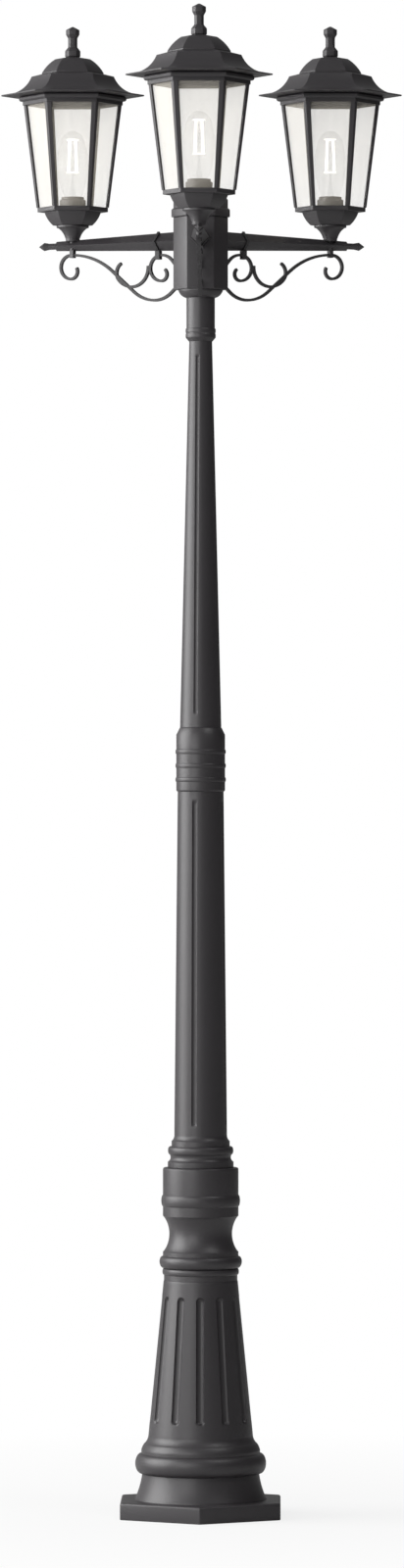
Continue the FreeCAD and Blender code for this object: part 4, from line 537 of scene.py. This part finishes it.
holder_plastic = moulded_plastic("holder_plastic", (0.17, 0.16, 0.145), (0.22, 0.205, 0.19), 0.5)
holder_foot, skirt_low, skirt_top, mouth_top = 27, 46.9, 61.4, 66
body_radius, skirt_radius, mouth_radius, mouth_bore = 15.8, 19.5, 16.8, 13.8
holder = eased([(14, holder_foot), (body_radius, holder_foot), (body_radius, skirt_low),
                (skirt_radius, skirt_low), (skirt_radius, skirt_top), (17.4, 62), (mouth_radius, 62.6),
                (mouth_radius, mouth_top), (mouth_bore, mouth_top), (mouth_bore, 38)], 0.6)
for side in lantern_sides:
    piece("holder_" + side, [turned(holder, 72)], holder_plastic, "post", ["lampholder_" + side],
          at=lantern_axis(side))

# ---------------------------------------------------------------- bulbs
# A clear pear-shaped bulb. Its cap is rolled metal with a round thread, and inside a drawn glass
# stem carries four coated rods, with a painted glow, between two thin carriers. The rods lean in
# towards their tops.

bulb_low, bulb_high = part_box("bulb_glass_front")
# The bulb's glass also lightens upwards with dust and a painted reflection.
bulb_glass = drawn_glass("bulb_glass", (0.70, 0.69, 0.67), (0.80, 0.79, 0.77), 0.06, 0.12,
                         bulb_low.z, bulb_high.z)
bulb_foot, bulb_top = 66.0, 164.6
belly, shoulder = (22.5, bulb_foot + 52), (19, bulb_foot + 78)
crown_radius, crown_low, crown_rise = 20.3, bulb_foot + 71, 27.6
crown_turn = np.linspace(0.35, math.pi / 2 - 0.06, 16)[1:]
crown = np.stack([crown_radius * np.cos(crown_turn), crown_low + crown_rise * np.sin(crown_turn)], axis=1)
glass = np.vstack([
    [(12, bulb_foot)],
    swell((12.8, bulb_foot), belly, 3.0, 1.0, 25),
    swell(belly, shoulder, 1.5, 1.0, 13)[1:],
    crown,
    [(0.6, bulb_top)]])


def plated_metal(name, dark, light):
    """Nickel plate: fine brushing round the thread, and slightly uneven gloss."""
    material = bpy.data.materials.new(name)
    material.use_nodes = True
    metal = Finish(material.node_tree)
    place = metal.node("ShaderNodeTexCoord", output=3)
    long_way = metal.node("ShaderNodeMapping", Vector=place, Scale=(80.0, 80.0, 1400.0))
    brushed = metal.node("ShaderNodeTexNoise", Vector=long_way, Scale=1.0, Detail=3.0)
    shader = metal.node("ShaderNodeBsdfPrincipled", Metallic=1.0, Roughness=brushed * 0.2 + 0.2,
                        Base_Color=metal.blend(brushed, (*dark, 1), (*light, 1)))
    metal.node("ShaderNodeOutputMaterial", Surface=shader)
    return material


def coat_with_painted_glow(name, dark, light, glow):
    """Pale coated rod with a painted glow: speckled, and by its emission a little brighter than what lights
    it.
    """
    material = bpy.data.materials.new(name)
    material.use_nodes = True
    coat = Finish(material.node_tree)
    place = coat.node("ShaderNodeTexCoord", output=3)
    speckle = coat.node("ShaderNodeTexNoise", Vector=place, Scale=700.0, Detail=2.0)
    tone = coat.blend(speckle, (*dark, 1), (*light, 1))
    shader = coat.node("ShaderNodeBsdfPrincipled", Base_Color=tone, Emission_Color=tone,
                       Emission_Strength=glow, Roughness=0.5)
    coat.node("ShaderNodeOutputMaterial", Surface=shader)
    return material


cap_metal = plated_metal("cap_metal", (0.52, 0.52, 0.50), (0.66, 0.65, 0.62))
# The rods' emission is a painted glow: they are not lit as a lamp.
rod_coat_and_glow = coat_with_painted_glow("filament_coat_and_glow", (0.95, 0.93, 0.86), (1.0, 0.99, 0.95), 1.15)
thread_radius, thread_depth, thread_low, thread_high, thread_pitch = 12.5, 0.6, 43, 63, 3.6
thread_height = np.linspace(thread_low, thread_high, 121)
thread_turn = (thread_height - thread_low) * 2 * math.pi / thread_pitch
thread = np.stack([thread_radius + thread_depth * np.sin(thread_turn), thread_height], axis=1)
cap = np.vstack([[(2, 38), (5, 38.2), (5.4, 40.4), (11, 41.4)], thread, [(12.6, 65.8), (12, bulb_foot)]])
rod_radius, rod_foot, rod_head, foot_reach, head_reach = 1.9, 102, 151, 8.6, 6.2
carrier_radius, carrier_height, stem_top = 9.1, 1.2, 98
rod = eased([(0.6, rod_foot), (rod_radius, rod_foot + 1), (rod_radius, rod_head - 1), (0.6, rod_head)], 0.5)
upright = turned(rod, 12)
lean = foot_reach - (foot_reach - head_reach) * (upright[..., 2:] - rod_foot) / (rod_head - rod_foot)
rods = [upright + np.concatenate([lean * math.cos(turn), lean * math.sin(turn), 0 * lean], axis=-1)
        for turn in np.radians([45, 135, 225, 315])]
carriers = [turned(eased([(0.5, low), (carrier_radius, low), (carrier_radius, low + carrier_height),
                          (0.5, low + carrier_height)], 0.3), 32) for low in (rod_foot, rod_head)]
stem_rod = turned(np.vstack([[(1, bulb_foot)], swell((6, bulb_foot), (1.8, stem_top), -1.0),
                             [(1.6, rod_head), (0.5, rod_head + 1)]]), 24)
for side in lantern_sides:
    body = "bulb_" + side
    place = lantern_axis(side)
    piece("glass_" + side, [turned(glass, 80)], bulb_glass, body, ["bulb_glass_" + side], at=place)
    piece("cap_" + side, [turned(cap, 64)], cap_metal, body, ["bulb_cap_" + side], at=place)
    piece("filament_" + side, rods + carriers, rod_coat_and_glow, body, ["bulb_filament_" + side], at=place)
    glass_stem = piece("bulb_stem_" + side, [stem_rod], bulb_glass, body, at=place)

# ---------------------------------------------------------------- roofs
# A six-sided casting that sweeps down to thin eaves, with a ledge and a small dome above. A lip
# inside the rim centres it, and a faceted finial is pinned in its top.

eave_flat, eave_low = 106.5 * cos30, 216.1
ledge_flat, ledge_low, dome_flat, dome_top = 53.2, 245.4, 39.8, 273.8
lip_inner, lip_outer, lip_low = 57.4, 59.8, 209.1
hollow_low, hollow_top, pin_hole, roof_edge = 243.4, 267.3, 4, 1.2
roof_outside = np.vstack([
    [(eave_flat - 0.6, eave_low), (eave_flat, 216.7), (eave_flat - 0.2, 218.1)],
    swell((eave_flat - 0.8, 218.3), (ledge_flat, ledge_low), -8, 1.0, 25),
    eased([(ledge_flat, ledge_low), (41, 248.9), (dome_flat, 249.3), (dome_flat, 251.1)], 0.8),
    swell((39.6, 251.3), (22.8, 271.3), 1.6),
    eased([(22.6, 271.4), (10, dome_top), (pin_hole, dome_top)], 0.5)])
roof_inside = np.array([(pin_hole, hollow_top), (18.8, hollow_top), (35.8, hollow_low), (49.2, hollow_low),
                        (lip_inner, eave_low), (lip_inner, lip_low), (lip_outer, lip_low),
                        (lip_outer, eave_low)])

base_flat, neck_flat, knob_flat, finial_top, finial_edge = 10, 6.1, 8.8, 319.3, 0.8
finial = eased([(8, dome_top), (8.8, dome_top), (base_flat, 275.3), (base_flat, 283.3), (neck_flat, 288.8),
                (neck_flat, 302.3), (knob_flat, 307.8), (knob_flat, 314.8), (1.2, finial_top)], 0.9)
for side in lantern_sides:
    body = "roof_" + side
    place = lantern_axis(side)
    piece("roof_cast_" + side, [six_sided(np.vstack([roof_outside, roof_inside]), roof_edge)], anthracite,
          body, ["roof_" + side], at=place, loops=True)
    piece("finial_" + side, [six_sided(finial, finial_edge)], anthracite, body, ["roof_finial_" + side],
          at=place)
